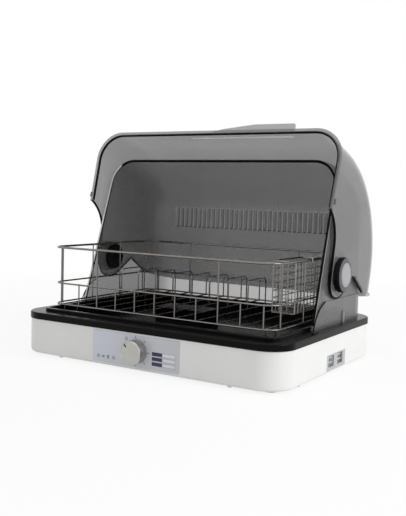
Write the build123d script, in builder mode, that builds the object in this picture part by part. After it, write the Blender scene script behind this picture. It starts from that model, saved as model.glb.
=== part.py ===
"""Bench-top dish dryer: base with fan, heater and timer, drip tray, rear cover, swing-back lid, rack and basket.

Millimetres, +Z up, +X to the right as seen from the front, +Y to the rear. The origin is on the worktop,
under the middle of the base. The lid is drawn closed and then swung open about its pivots.
"""

import os
from math import acos, cos, degrees, hypot, radians, sin, sqrt, tan

from build123d import *

overrun = 2  # how far cuts run past the faces they open
face_gap = 0.3  # clearance between neighbours that move or slip together
running_gap = 0.05  # radial clearance of shafts and pins in their bores

# Base housing, bottom plate, feet and screws
base_width = 520
base_depth = 395
base_corner_radius = 45
housing_height = 61.4
housing_wall = 2.5
housing_bottom_fillet = 6
housing_rim_width = 12
housing_rim_thickness = 4
foot_drop = 4
bottom_plate_thickness = 2.5
foot_diameter = 24
foot_inset = 34
bottom_boss_diameter = 9
bottom_boss_height = 8
screw_diameter = 3
screw_hole_clearance = 0.4
screw_head_diameter = 7
screw_head_height = 2.2
bottom_screw_inset = 90
side_screw_inset = 77.5

# Drip tray
flange_overhang = 1.5
flange_height = 11.6
flange_thickness = 3
flange_shelf = 26.5
flange_edge_fillet = 2.5
curb_width = 7
curb_height = 5
curb_fillet = 2
basin_depth = 26
tray_wall = 2.5

# Air outlet in the tray
outlet_length = 90
outlet_width = 40
outlet_x = -45
outlet_y = 20
outlet_collar_height = 12
outlet_collar_wall = 2
hood_margin = 8
hood_wall = 2
hood_height = 24
hood_slot_width = 5
hood_slot_height = 10
hood_slot_count = 8

# Lid pivots, shared by the rear cover and the lid
pivot_setback = 156.5
pivot_above_flange = 86.5
pivot_pin_diameter = 14
pivot_knob_diameter = 60
pivot_knob_thickness = 11
pivot_knob_fillet = 2.5
pivot_cap_diameter = 42
pivot_cap_thickness = 3.5
pivot_cap_proud = 1.5
pivot_cap_fillet = 1
pivot_nut_diameter = 50
pivot_nut_thickness = 4
pivot_pin_proud = 0.8
pivot_seat_diameter = 32
pivot_boss_diameter = 50
lid_boss_diameter = 58
lid_boss_thickness = 4.8

# Rear cover
cover_wall = 2.5
cover_side_setback = 17
cover_draft = 0.6
cover_back_setback = 9.5
cover_corner_radius = 46
cover_blend_radius = 80
cover_front_ahead = 88
cover_front_lean = 18
cover_lip_width = 4.5
cover_lip_thickness = 3
cover_step = 2
cover_step_drop = 4.5
cover_step_gap = 2.5
louvre_count = 34
louvre_pitch = 11
louvre_width = 3.8
louvre_height = 42
louvre_above_flange = 148
clip_length = 5
clip_width = 2.5
clip_height = 20
clip_setback = 123.5

# Lid, drawn closed
lid_wall = 2.5
lid_side_gap = 6
lid_draft = 0.6
lid_splay = 1.6
lid_front_setback = 10.5
lid_rim_gap = 2
lid_front_lean = 1
lid_arc_ahead = 10
lid_arc_drop = 15.5
lid_corner_radius = 50
lid_swing_gap = 1.6
lid_lip_width = 3.6
lid_lip_thickness = 3
lid_lip_corner_radius = 51.5
lid_ear_radius = 40.5
lid_side_drop = 38.5
lid_side_rise = 9
lid_ear_bend = 24
lid_notch_radius = 67
lid_tip_ahead = 94
lid_overlap = 27
lid_rear_bend = 8
lid_rear_knee = 128
lid_rear_top_behind = 7
lid_rear_lip_width = 4
lid_rear_lip_thickness = 3
lid_open_angle = 105
handle_root_x = -60
handle_shoulder_x = 5
handle_flat_x = 72
handle_end_x = 150
handle_shoulder_depth = 16
handle_depth = 23.5
handle_thickness = 7
handle_above_rim = 26
buffer_length = 9
buffer_height = 4
buffer_thickness = 2
buffer_behind_tip = 8
rest_pad_length = 16
rest_pad_width = 7
rest_pad_ahead = 9

# Control panel and timer
panel_width = 174
panel_height = 52
panel_thickness = 1.2
panel_x = -4
panel_above_bottom = 6
panel_corner_radius = 1.5
timer_x = 0
timer_above_bottom = 32
knob_diameter = 40
knob_height = 18
knob_chamfer = 1
knob_seat_gap = 0.5
knob_socket_depth = 12
knob_groove_width = 2
knob_groove_depth = 1
knob_off_angle = 42
timer_width = 44
timer_body_height = 38
timer_depth = 20
timer_bush_diameter = 9.5
timer_nut_width = 14
timer_nut_thickness = 2.5
timer_shaft_diameter = 6
timer_shaft_grip = 14

# Side vent insert and filter
vent_length = 80
vent_height = 26.5
vent_y = 14
vent_recess = 0.6
vent_flange_width = 2.5
vent_flange_thickness = 1.5
vent_window_width = 23
vent_window_height = 19
vent_window_pitch = 38
filter_thickness = 1.5
filter_hole = 6
filter_bar = 2

# Fan, heater and electrics
fan_inset = 110
fan_y = 17
scroll_radius = 56
scroll_wall = 2
scroll_height = 36
scroll_inlet_diameter = 62
scroll_neck_length = 22
duct_width = 50
motor_diameter = 44
motor_height = 15
motor_shaft_diameter = 5
motor_shaft_depth = 11
impeller_diameter = 92
impeller_height = 14
impeller_disc_thickness = 1.6
impeller_hub_diameter = 16
impeller_motor_gap = 2
impeller_ring_width = 7
blade_count = 28
blade_length = 12
blade_thickness = 1.4
duct_wall = 2
heater_length = 50
heater_plate_thickness = 3
heater_fin_thickness = 1
heater_fin_count = 9
thermostat_diameter = 16
thermostat_height = 4
fuse_diameter = 4.5
fuse_length = 18
terminal_length = 40
terminal_width = 18
terminal_height = 14
terminal_inset_x = 110
terminal_inset_y = 77.5
gland_inset = 80
gland_above_bottom = 24
gland_diameter = 14
gland_flange_diameter = 20
gland_flange_thickness = 3
gland_inside = 10
gland_bore = 7.5
loom_diameter = 3
loom_radius = 18

# Wire rack
rack_side_gap = 4.5
rack_front_gap = 12.5
rack_back_gap = 15.5
rack_corner_radius = 24
rack_floor_above_curb = 7
rack_mid_above_floor = 38
rack_height = 102.5
rack_top_wire = 4
rack_wire = 3
upright_wire = 2.4
weld_sink = 0.3
upright_end_inset = 18.5
upright_count = 11
tall_uprights = (0, 2, 8)
side_upright_inset = 24
side_upright_count = 4
rack_foot_width = 34
rack_foot_inset = 27
rack_foot_bend = 6
divider_count = 8
divider_setback = 125
divider_length = 70
divider_height = 52
divider_bend = 10

# Cutlery basket
basket_width = 42
basket_length = 112
basket_depth = 84
basket_side_gap = 6.5
basket_setback = 87
mesh_thickness = 1.6
mesh_bar = 1.6
mesh_pitch = 12
basket_rim_wire = 3
hook_wire = 2.5
hook_inset = 36
hook_lip = 8

# Heights and places that follow from the sizes above
housing_top = foot_drop + housing_height
flange_top = housing_top + flange_height
curb_top = flange_top + curb_height
basin_floor = curb_top - basin_depth
flange_half_x = base_width / 2 + flange_overhang
flange_half_y = base_depth / 2 + flange_overhang
flange_corner = base_corner_radius + flange_overhang
plate_bottom = foot_drop + housing_rim_thickness
plate_top = plate_bottom + bottom_plate_thickness
pivot_y = base_depth / 2 - pivot_setback
pivot_z = flange_top + pivot_above_flange
pivot_axis = Axis((0, pivot_y, pivot_z), (1, 0, 0))

curb_half_x = flange_half_x - flange_shelf
curb_half_y = flange_half_y - flange_shelf
curb_corner = flange_corner - flange_shelf
basin_half_x = curb_half_x - curb_width
basin_half_y = curb_half_y - curb_width
basin_corner = curb_corner - curb_width
cover_half_width = base_width / 2 - cover_side_setback
cover_front_foot_y = pivot_y - cover_front_ahead
lid_half_width = cover_half_width + lid_side_gap
lid_tip_y = pivot_y - lid_tip_ahead
clip_y = base_depth / 2 - clip_setback
bottom_screw_x = base_width / 2 - bottom_screw_inset
side_screw_y = side_screw_inset - base_depth / 2
fan_x = base_width / 2 - fan_inset
terminal_x = terminal_inset_x - base_width / 2
terminal_y = base_depth / 2 - terminal_inset_y
gland_x = gland_inset - base_width / 2

# The lid's closed outline is an arc over the top, tangent to a leaning front that meets the rim
lid_rim_z = flange_top + lid_rim_gap
lid_front_y = -flange_half_y + lid_front_setback
lid_lean = radians(lid_front_lean)
lid_arc_y = pivot_y - lid_arc_ahead
lid_arc_z = pivot_z - lid_arc_drop
lid_arc_radius = cos(lid_lean) * (lid_arc_y - lid_front_y - (lid_arc_z - lid_rim_z) * tan(lid_lean))
lid_top_z = lid_arc_z + lid_arc_radius
lid_ear_bottom = pivot_z - lid_side_drop
lid_notch_drop = lid_ear_bottom - lid_rim_z
lid_notch_reach = sqrt(2 * lid_notch_radius * lid_notch_drop - lid_notch_drop**2)
lid_notch_y = lid_tip_y + lid_notch_reach
lid_notch_z = lid_ear_bottom - lid_notch_radius

# The rear cover's top follows the lid's swing, one gap inside it
cover_top_radius = lid_arc_radius - lid_wall - hypot(lid_arc_ahead, lid_arc_drop) - lid_swing_gap
cover_back_y = base_depth / 2 - cover_back_setback
cover_blend_share = (cover_back_y - pivot_y - cover_blend_radius) / (cover_top_radius - cover_blend_radius)
cover_blend_angle = degrees(acos(cover_blend_share))
cover_blend_y = cover_back_y - cover_blend_radius
cover_blend_z = pivot_z + (cover_top_radius - cover_blend_radius) * sin(radians(cover_blend_angle))
cover_top_z = pivot_z + cover_top_radius

cover_pivot_x = cover_half_width - pivot_above_flange * tan(radians(cover_draft))
lid_pivot_x = lid_half_width - (pivot_z - lid_rim_z) * tan(radians(lid_draft))
lid_boss_outer_x = lid_pivot_x + (lid_boss_thickness - lid_wall) / 2
lid_boss_inner_x = lid_boss_outer_x - lid_boss_thickness
knob_inner_x = lid_boss_outer_x + face_gap
knob_outer_x = knob_inner_x + pivot_knob_thickness
cover_boss_x = lid_boss_inner_x - face_gap
nut_outer_x = cover_pivot_x - cover_wall - cover_wall / 2
pin_end_x = nut_outer_x - pivot_nut_thickness - pivot_pin_proud

timer_z = foot_drop + timer_above_bottom
front_y = -base_depth / 2
panel_front_y = front_y - panel_thickness
knob_back_y = panel_front_y - knob_seat_gap

rack_half_width = basin_half_x - rack_side_gap
rack_front_y = rack_front_gap - basin_half_y
rack_back_y = basin_half_y - rack_back_gap
rack_floor_z = curb_top + rack_floor_above_curb
rack_mid_z = rack_floor_z + rack_mid_above_floor
rack_top_z = rack_floor_z + rack_height
upright_inset = upright_wire / 2 - weld_sink
upright_pitch = 2 * (rack_half_width - upright_end_inset) / (upright_count - 1)
upright_xs = [(i - (upright_count - 1) / 2) * upright_pitch for i in range(upright_count)]
rack_middle_y = (rack_front_y + rack_back_y) / 2
side_upright_pitch = (rack_back_y - rack_front_y - 2 * side_upright_inset) / (side_upright_count - 1)
side_upright_ys = [
    rack_middle_y + (i - (side_upright_count - 1) / 2) * side_upright_pitch
    for i in range(side_upright_count)
]

scroll_top = plate_top + scroll_height
duct_top = scroll_top
neck_end_x = fan_x - scroll_radius - scroll_neck_length
impeller_bottom = plate_top + motor_height + impeller_motor_gap
basin_underside = basin_floor - tray_wall

basket_rim_z = rack_top_z - basket_rim_wire
basket_top = basket_rim_z - basket_rim_wire / 2 + weld_sink
basket_bottom = basket_top - basket_depth
basket_outer_x = rack_half_width - basket_side_gap
basket_front_y = rack_front_y + basket_setback
divider_front_y = rack_back_y - divider_setback
basket_inner_x = basket_outer_x - basket_width
basket_middle_x = basket_outer_x - basket_width / 2
basket_middle_y = basket_front_y + basket_length / 2


def tilted_sides(half_width, level, draft, splay):
    """The two planes of side walls that stand half_width from the middle at a level, beside the pivots.

    They draw in upwards by the draft and spread towards the front by the splay.
    """
    inward, spread = tan(radians(draft)), tan(radians(splay))
    right = Plane(origin=(half_width, pivot_y, level), x_dir=(0, 0, 1), z_dir=(1, spread, inward))
    left = Plane(origin=(-half_width, pivot_y, level), x_dir=(0, 0, 1), z_dir=(-1, spread, inward))
    return right, left


def lid_half_at(y):
    """Half the closed lid's width at its rim, at a place along its depth."""
    return lid_half_width + (pivot_y - y) * tan(radians(lid_splay))


def cover_front(shift):
    """The leaning front plane of the rear cover, moved back by a shift."""
    lean = radians(cover_front_lean)
    return Plane(
        origin=(0, cover_front_foot_y + shift / cos(lean), flange_top),
        x_dir=(1, 0, 0),
        z_dir=(0, -cos(lean), sin(lean)),
    )


def round_sides(form, radius, bottom, limit, toward):
    """Round the edges between a form's two side walls and its curved outline.

    The straight bottom edges stay sharp, and so do those at the open end, at y = limit.
    """
    sides = form.faces().sort_by(Axis.X)
    edges = sides[0].edges() + sides[-1].edges()
    return fillet(
        [e for e in edges if e.center().Z > bottom + overrun and (e.center().Y - limit) * toward > overrun],
        radius,
    )


def cover_form(inset, shift, drop):
    """The rear cover's outline as a solid, drawn in by inset, cut back by shift and run down by drop."""
    bottom = flange_top - drop
    far_y = cover_front_foot_y - cover_blend_radius
    back = cover_back_y - inset
    with BuildPart() as form:
        with BuildSketch(Plane.YZ):
            with BuildLine():
                Polyline((far_y, cover_top_z - inset), (far_y, bottom), (back, bottom), (back, cover_blend_z))
                CenterArc((cover_blend_y, cover_blend_z), cover_blend_radius - inset, 0, cover_blend_angle)
                CenterArc((pivot_y, pivot_z), cover_top_radius - inset, cover_blend_angle, 90 - cover_blend_angle)
                Line((pivot_y, cover_top_z - inset), (far_y, cover_top_z - inset))
            make_face()
        extrude(amount=base_width / 2, both=True)
        for side in tilted_sides(cover_half_width - inset, flange_top, cover_draft, 0):
            split(bisect_by=side, keep=Keep.BOTTOM)
        round_sides(form, cover_corner_radius - inset, bottom, far_y, 1)
        split(bisect_by=cover_front(shift), keep=Keep.BOTTOM)
    return form.part


def lid_form(inset, drop):
    """The closed lid's outline as a solid, drawn in by inset and run down by drop."""
    bottom = lid_rim_z - drop
    radius = lid_arc_radius - inset
    far_y = cover_back_y
    meet_y = lid_arc_y - radius * cos(lid_lean)
    meet_z = lid_arc_z + radius * sin(lid_lean)
    foot_y = meet_y - (meet_z - bottom) * tan(lid_lean)
    top = lid_arc_z + radius
    with BuildPart() as form:
        with BuildSketch(Plane.YZ):
            with BuildLine():
                Line((foot_y, bottom), (meet_y, meet_z))
                CenterArc((lid_arc_y, lid_arc_z), radius, 180 - lid_front_lean, lid_front_lean - 90)
                Polyline((lid_arc_y, top), (far_y, top), (far_y, bottom), (foot_y, bottom))
            make_face()
        extrude(amount=base_width / 2, both=True)
        for side in tilted_sides(lid_half_width - inset, lid_rim_z, lid_draft, lid_splay):
            split(bisect_by=side, keep=Keep.BOTTOM)
        round_sides(form, lid_corner_radius - inset, bottom, far_y, -1)
    return form.part


def wire_loop(level, wire, half_width, low_y, high_y, radius):
    """A flat closed loop of round wire whose inner side touches the given sides."""
    grow = wire / 2
    corners = [
        (-half_width - grow, low_y - grow, level),
        (half_width + grow, low_y - grow, level),
        (half_width + grow, high_y + grow, level),
        (-half_width - grow, high_y + grow, level),
    ]
    with BuildPart() as loop:
        with BuildLine() as path:
            FilletPolyline(*corners, radius=radius + grow, close=True)
        with BuildSketch(Plane(origin=path.line @ 0, z_dir=path.line % 0)):
            Circle(wire / 2)
        sweep()
    return loop.part


def bent_wire(points, wire, radius):
    """An open run of round wire through points, with its corners bent to a radius."""
    with BuildPart() as run:
        with BuildLine() as path:
            FilletPolyline(*points, radius=radius)
        with BuildSketch(Plane(origin=path.line @ 0, z_dir=path.line % 0)):
            Circle(wire / 2)
        sweep()
    return run.part


def mesh_panel(width, height):
    """A flat square mesh of the given size as one holed plate, centred, lying in XY."""
    across = int((width - mesh_bar) // mesh_pitch)
    along = int((height - mesh_bar) // mesh_pitch)
    hole_width = (width - mesh_bar) / across - mesh_bar
    hole_height = (height - mesh_bar) / along - mesh_bar
    with BuildPart() as panel:
        with BuildSketch():
            Rectangle(width, height)
            with GridLocations(hole_width + mesh_bar, hole_height + mesh_bar, across, along):
                Rectangle(hole_width, hole_height, mode=Mode.SUBTRACT)
        extrude(amount=mesh_thickness / 2, both=True)
    return panel.part


os.makedirs("parts", exist_ok=True)

# Base housing
rim_opening_width = base_width - 2 * (housing_wall + housing_rim_width)
rim_opening_depth = base_depth - 2 * (housing_wall + housing_rim_width)
rim_line_x = base_width / 2 - housing_wall - housing_rim_width / 2
rim_line_y = base_depth / 2 - housing_wall - housing_rim_width / 2
screw_places = [
    (bottom_screw_x, rim_line_y),
    (-bottom_screw_x, rim_line_y),
    (bottom_screw_x, -rim_line_y),
    (-bottom_screw_x, -rim_line_y),
    (rim_line_x, side_screw_y),
    (-rim_line_x, side_screw_y),
]
vent_z = plate_bottom + face_gap + vent_height / 2
gland_z = foot_drop + gland_above_bottom

with BuildPart() as base_housing:
    with BuildSketch(Plane.XY.offset(foot_drop)):
        RectangleRounded(base_width, base_depth, base_corner_radius)
    extrude(amount=housing_height)
    fillet(base_housing.faces().sort_by(Axis.Z)[0].edges(), housing_bottom_fillet)
    with BuildSketch(Plane.XY.offset(plate_bottom)):
        RectangleRounded(
            base_width - 2 * housing_wall, base_depth - 2 * housing_wall, base_corner_radius - housing_wall
        )
    extrude(amount=housing_height, mode=Mode.SUBTRACT)
    with BuildSketch(Plane.XY.offset(foot_drop - overrun)):
        RectangleRounded(
            rim_opening_width, rim_opening_depth, base_corner_radius - housing_wall - housing_rim_width
        )
    extrude(amount=housing_height, mode=Mode.SUBTRACT)
    with Locations(*[(x, y, foot_drop) for x, y in screw_places]):
        Cylinder((screw_diameter + screw_hole_clearance) / 2, housing_rim_thickness * 4, mode=Mode.SUBTRACT)
    with Locations((base_width / 2, vent_y, vent_z)):
        Box(
            housing_wall * 4,
            vent_length + 2 * face_gap,
            vent_height + 2 * face_gap,
            mode=Mode.SUBTRACT,
        )
    with Locations((timer_x, front_y, timer_z)):
        Cylinder(
            timer_bush_diameter / 2 + face_gap, housing_wall * 4, rotation=(90, 0, 0), mode=Mode.SUBTRACT
        )
    with Locations((gland_x, -front_y, gland_z)):
        Cylinder(gland_diameter / 2, housing_wall * 4, rotation=(90, 0, 0), mode=Mode.SUBTRACT)
base_housing.part.label = "base_housing"
export_step(base_housing.part, "parts/base_housing.step")

# Bottom plate, lying on the housing's inner rim
with BuildPart() as bottom_plate:
    with BuildSketch(Plane.XY.offset(plate_bottom)):
        RectangleRounded(
            base_width - 2 * (housing_wall + face_gap),
            base_depth - 2 * (housing_wall + face_gap),
            base_corner_radius - housing_wall - face_gap,
        )
    extrude(amount=bottom_plate_thickness)
    with Locations(*[(x, y, plate_top) for x, y in screw_places]):
        Cylinder(
            bottom_boss_diameter / 2,
            bottom_boss_height,
            align=(Align.CENTER, Align.CENTER, Align.MIN),
        )
        Cylinder(
            screw_diameter / 2 + running_gap,
            2 * (bottom_boss_height - bottom_plate_thickness),
            mode=Mode.SUBTRACT,
        )
bottom_plate.part.label = "bottom_plate"
export_step(bottom_plate.part, "parts/bottom_plate.step")

foot_x = base_width / 2 - foot_inset
foot_y = base_depth / 2 - foot_inset
with BuildPart() as feet:
    with GridLocations(2 * foot_x, 2 * foot_y, 2, 2):
        Cylinder(foot_diameter / 2, plate_bottom, align=(Align.CENTER, Align.CENTER, Align.MIN))
feet.part.label = "feet"
export_step(feet.part, "parts/feet.step")

screw_length = housing_rim_thickness + bottom_boss_height - bottom_plate_thickness
with BuildPart() as bottom_screws:
    with Locations(*[(x, y, foot_drop) for x, y in screw_places]):
        Cylinder(
            screw_head_diameter / 2, screw_head_height, align=(Align.CENTER, Align.CENTER, Align.MAX)
        )
        Cylinder(screw_diameter / 2, screw_length, align=(Align.CENTER, Align.CENTER, Align.MIN))
bottom_screws.part.label = "bottom_screws"
export_step(bottom_screws.part, "parts/bottom_screws.step")

# Drip tray
with BuildPart() as drip_tray:
    with BuildSketch(Plane.XY.offset(housing_top)):
        RectangleRounded(2 * flange_half_x, 2 * flange_half_y, flange_corner)
    extrude(amount=flange_height)
    fillet(drip_tray.faces().sort_by(Axis.Z)[-1].edges(), flange_edge_fillet)
    with BuildSketch(Plane.XY.offset(housing_top)):
        RectangleRounded(
            2 * (flange_half_x - flange_thickness),
            2 * (flange_half_y - flange_thickness),
            flange_corner - flange_thickness,
        )
    extrude(amount=flange_height - flange_thickness, mode=Mode.SUBTRACT)
    with BuildSketch(Plane.XY.offset(flange_top - flange_thickness)):
        RectangleRounded(2 * curb_half_x, 2 * curb_half_y, curb_corner)
    extrude(amount=flange_thickness + curb_height)
    fillet(drip_tray.faces().sort_by(Axis.Z)[-1].edges(), curb_fillet)
    with BuildSketch(Plane.XY.offset(basin_underside)):
        RectangleRounded(
            2 * (basin_half_x + tray_wall), 2 * (basin_half_y + tray_wall), basin_corner + tray_wall
        )
    extrude(amount=flange_top - basin_underside)
    with BuildSketch(Plane.XY.offset(basin_floor)):
        RectangleRounded(2 * basin_half_x, 2 * basin_half_y, basin_corner)
    extrude(amount=2 * basin_depth, mode=Mode.SUBTRACT)
    with Locations((outlet_x, outlet_y, basin_underside)):
        Box(
            outlet_length + 2 * outlet_collar_wall,
            outlet_width + 2 * outlet_collar_wall,
            tray_wall + outlet_collar_height,
            align=(Align.CENTER, Align.CENTER, Align.MIN),
        )
        Box(outlet_length, outlet_width, 4 * basin_depth, mode=Mode.SUBTRACT)
drip_tray.part.label = "drip_tray"
export_step(drip_tray.part, "parts/drip_tray.step")

# Slotted hood over the air outlet, standing on the basin floor
hood_length = outlet_length + 2 * (outlet_collar_wall + hood_margin)
hood_width = outlet_width + 2 * (outlet_collar_wall + hood_margin)
with BuildPart() as air_outlet_hood:
    with Locations((outlet_x, outlet_y, basin_floor)):
        Box(hood_length, hood_width, hood_height, align=(Align.CENTER, Align.CENTER, Align.MIN))
    fillet(air_outlet_hood.edges().filter_by(Axis.Z), hood_margin)
    with BuildSketch(Plane.XY.offset(basin_floor)):
        with Locations((outlet_x, outlet_y)):
            RectangleRounded(hood_length - 2 * hood_wall, hood_width - 2 * hood_wall, hood_margin - hood_wall)
    extrude(amount=hood_height - hood_wall, mode=Mode.SUBTRACT)
    with BuildSketch(Plane.XZ.offset(-outlet_y)):
        with Locations((outlet_x, basin_floor + hood_height - hood_wall - hood_slot_height)):
            with GridLocations(outlet_length / hood_slot_count, 0, hood_slot_count, 1):
                Rectangle(hood_slot_width, hood_slot_height)
    extrude(amount=hood_width, both=True, mode=Mode.SUBTRACT)
air_outlet_hood.part.label = "air_outlet_hood"
export_step(air_outlet_hood.part, "parts/air_outlet_hood.step")

# Rear cover: a shell with an inward lip round its open front, a proud foot band, louvres and pivot bosses
cover_outer = cover_form(0, 0, 0)
cover_proud = cover_form(-cover_step, 0, 0)
cover_inner = cover_form(cover_wall, cover_lip_thickness, overrun)
cover_mouth = cover_form(cover_lip_width, -overrun, overrun)
step_top = lid_ear_bottom - cover_step_drop
step_radius = lid_notch_radius - cover_step_gap
step_meet_y = lid_notch_y - sqrt(step_radius**2 - (step_top - lid_notch_z) ** 2)
step_foot_y = lid_notch_y - sqrt(step_radius**2 - (flange_top - lid_notch_z) ** 2)
step_crown = (
    lid_notch_y - step_radius * cos(radians(45)),
    lid_notch_z + step_radius * sin(radians(45)),
)
with BuildPart() as rear_cover:
    add(cover_proud)
    with BuildSketch(Plane.YZ):
        with BuildLine():
            ThreePointArc((step_foot_y, flange_top), step_crown, (step_meet_y, step_top))
            Polyline(
                (step_meet_y, step_top),
                (base_depth, step_top),
                (base_depth, flange_top),
                (step_foot_y, flange_top),
            )
        make_face()
    extrude(amount=base_width, both=True, mode=Mode.INTERSECT)
    add(cover_outer)
    with Locations((0, pivot_y, pivot_z)):
        Cylinder(pivot_boss_diameter / 2, 2 * cover_boss_x, rotation=(0, 90, 0))
    add(cover_inner, mode=Mode.SUBTRACT)
    add(cover_mouth, mode=Mode.SUBTRACT)
    with BuildSketch(Plane.XY.offset(flange_top - overrun)):
        RectangleRounded(2 * (curb_half_x + face_gap), 2 * (curb_half_y + face_gap), curb_corner + face_gap)
    extrude(amount=overrun + curb_height + face_gap, mode=Mode.SUBTRACT)
    for way in (-1, 1):
        with Locations((way * nut_outer_x, pivot_y, pivot_z)):
            Cylinder(
                pivot_seat_diameter / 2,
                2 * cover_wall,
                rotation=(0, 90 * way, 0),
                align=(Align.CENTER, Align.CENTER, Align.MIN),
            )
    with BuildSketch(Plane.XZ.offset(-cover_back_y)):
        with Locations((0, flange_top + louvre_above_flange + louvre_height / 2)):
            with GridLocations(louvre_pitch, 0, louvre_count, 1):
                Rectangle(louvre_width, louvre_height)
    extrude(amount=cover_corner_radius, both=True, mode=Mode.SUBTRACT)
    with Locations((0, pivot_y, pivot_z)):
        Cylinder(
            pivot_pin_diameter / 2 + running_gap, 2 * base_width, rotation=(0, 90, 0), mode=Mode.SUBTRACT
        )
rear_cover.part.label = "rear_cover"
export_step(rear_cover.part, "parts/rear_cover.step")

clip_x = cover_half_width + cover_step + face_gap + clip_width / 2
with BuildPart() as cover_clips:
    with Locations((clip_x, clip_y, flange_top), (-clip_x, clip_y, flange_top)):
        Box(clip_width, clip_length, clip_height, align=(Align.CENTER, Align.CENTER, Align.MIN))
    fillet(cover_clips.edges().filter_by(Axis.Z), clip_width / 3)
cover_clips.part.label = "cover_clips"
export_step(cover_clips.part, "parts/cover_clips.step")

# Pads that the lid's tips rest on
rest_pad_y = lid_tip_y - rest_pad_ahead
rest_pad_x = lid_half_at(rest_pad_y) + lid_lip_width - rest_pad_width / 2
with BuildPart() as lid_rest_pads:
    with BuildSketch(Plane.XY.offset(flange_top)):
        with Locations((rest_pad_x, rest_pad_y), (-rest_pad_x, rest_pad_y)):
            SlotOverall(rest_pad_length, rest_pad_width, rotation=90)
    extrude(amount=lid_rim_gap - face_gap)
lid_rest_pads.part.label = "lid_rest_pads"
export_step(lid_rest_pads.part, "parts/lid_rest_pads.step")

# Lid: drawn closed, then swung open
lid_outer = lid_form(0, 0)
lid_inner = lid_form(lid_wall, overrun)
lid_flared = lid_form(-lid_rear_lip_width, 0)
cover_slope = tan(radians(cover_front_lean))
ear_angle = radians(45)
ear_front_y = pivot_y + lid_ear_radius
ear_top = (pivot_y + lid_ear_radius * cos(ear_angle), pivot_z + lid_ear_radius * sin(ear_angle))
ear_corner = (ear_front_y, lid_ear_bottom + (ear_front_y - lid_notch_y) * tan(radians(lid_side_rise)))
rear_foot_y = cover_front_foot_y + lid_overlap
rear_run = (ear_top[0] - rear_foot_y - (ear_top[1] - flange_top) * cover_slope) / (1 + cover_slope)
rear_corner = (ear_top[0] - rear_run, ear_top[1] + rear_run)
rear_crown_z = lid_top_z + lid_rear_lip_width + overrun
rear_crown = (pivot_y + lid_rear_top_behind, rear_crown_z)
knee_z = pivot_z + lid_rear_knee
rear_knee = (rear_foot_y + (knee_z - flange_top) * cover_slope, knee_z)
lip_root_z = rear_corner[1] + lid_rear_bend
lip_root_y = rear_foot_y + (lip_root_z - flange_top) * cover_slope
lid_far_y = lid_front_y - 2 * lid_corner_radius
lip_front_y = lid_front_y - lid_lip_width
lip_front_x = lid_half_at(lip_front_y) + lid_lip_width
lip_back_x = lid_half_at(cover_back_y) + lid_lip_width
with BuildPart() as rear_lip:
    add(lid_flared)
    with BuildSketch(Plane.YZ):
        with BuildLine():
            Polyline(
                (lip_root_y, lip_root_z),
                rear_knee,
                rear_crown,
                (rear_crown[0] - lid_rear_lip_thickness, rear_crown[1]),
                (rear_knee[0] - lid_rear_lip_thickness, rear_knee[1]),
                (lip_root_y - lid_rear_lip_thickness, lip_root_z),
                close=True,
            )
        make_face()
    extrude(amount=base_width, both=True, mode=Mode.INTERSECT)

with BuildPart() as lid:
    add(lid_outer)
    with BuildSketch(Plane.XY.offset(lid_rim_z)) as lip_outline:
        with BuildLine():
            Polyline(
                (-lip_front_x, lip_front_y),
                (lip_front_x, lip_front_y),
                (lip_back_x, cover_back_y),
                (-lip_back_x, cover_back_y),
                close=True,
            )
        make_face()
        fillet(
            lip_outline.vertices().group_by(Axis.Y)[0],
            lid_lip_corner_radius,
        )
    extrude(amount=lid_lip_thickness)
    with BuildSketch(Plane.YZ) as lid_side:
        with BuildLine():
            Line((lid_far_y, lid_rim_z - overrun), (lid_tip_y, lid_rim_z - overrun))
            Line((lid_tip_y, lid_rim_z - overrun), (lid_tip_y, lid_rim_z))
            RadiusArc((lid_tip_y, lid_rim_z), (lid_notch_y, lid_ear_bottom), lid_notch_radius)
            Polyline((lid_notch_y, lid_ear_bottom), ear_corner, (ear_front_y, pivot_z))
            CenterArc((pivot_y, pivot_z), lid_ear_radius, 0, degrees(ear_angle))
            Polyline(
                ear_top,
                rear_corner,
                rear_knee,
                rear_crown,
                (lid_far_y, rear_crown_z),
                (lid_far_y, lid_rim_z - overrun),
            )
        make_face()
        fillet(lid_side.vertices().sort_by_distance((ear_corner[0], ear_corner[1], 0))[0], lid_ear_bend)
        fillet(lid_side.vertices().sort_by_distance((rear_corner[0], rear_corner[1], 0))[0], lid_rear_bend)
    extrude(amount=base_width, both=True, mode=Mode.INTERSECT)
    add(rear_lip.part)
    with Locations((0, pivot_y, pivot_z)):
        Cylinder(lid_boss_diameter / 2, 2 * lid_boss_outer_x, rotation=(0, 90, 0))
    add(lid_inner, mode=Mode.SUBTRACT)
    for side_x in (lid_boss_inner_x, -lid_boss_outer_x):
        with Locations((side_x, pivot_y, pivot_z)):
            Cylinder(
                lid_boss_diameter / 2,
                lid_boss_thickness,
                rotation=(0, 90, 0),
                align=(Align.CENTER, Align.CENTER, Align.MIN),
            )
    with Locations((0, pivot_y, pivot_z)):
        Cylinder(
            pivot_pin_diameter / 2 + running_gap, 2 * base_width, rotation=(0, 90, 0), mode=Mode.SUBTRACT
        )
lid.part = lid.part.rotate(pivot_axis, -lid_open_angle)
lid.part.label = "lid"
export_step(lid.part, "parts/lid.step")

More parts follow.
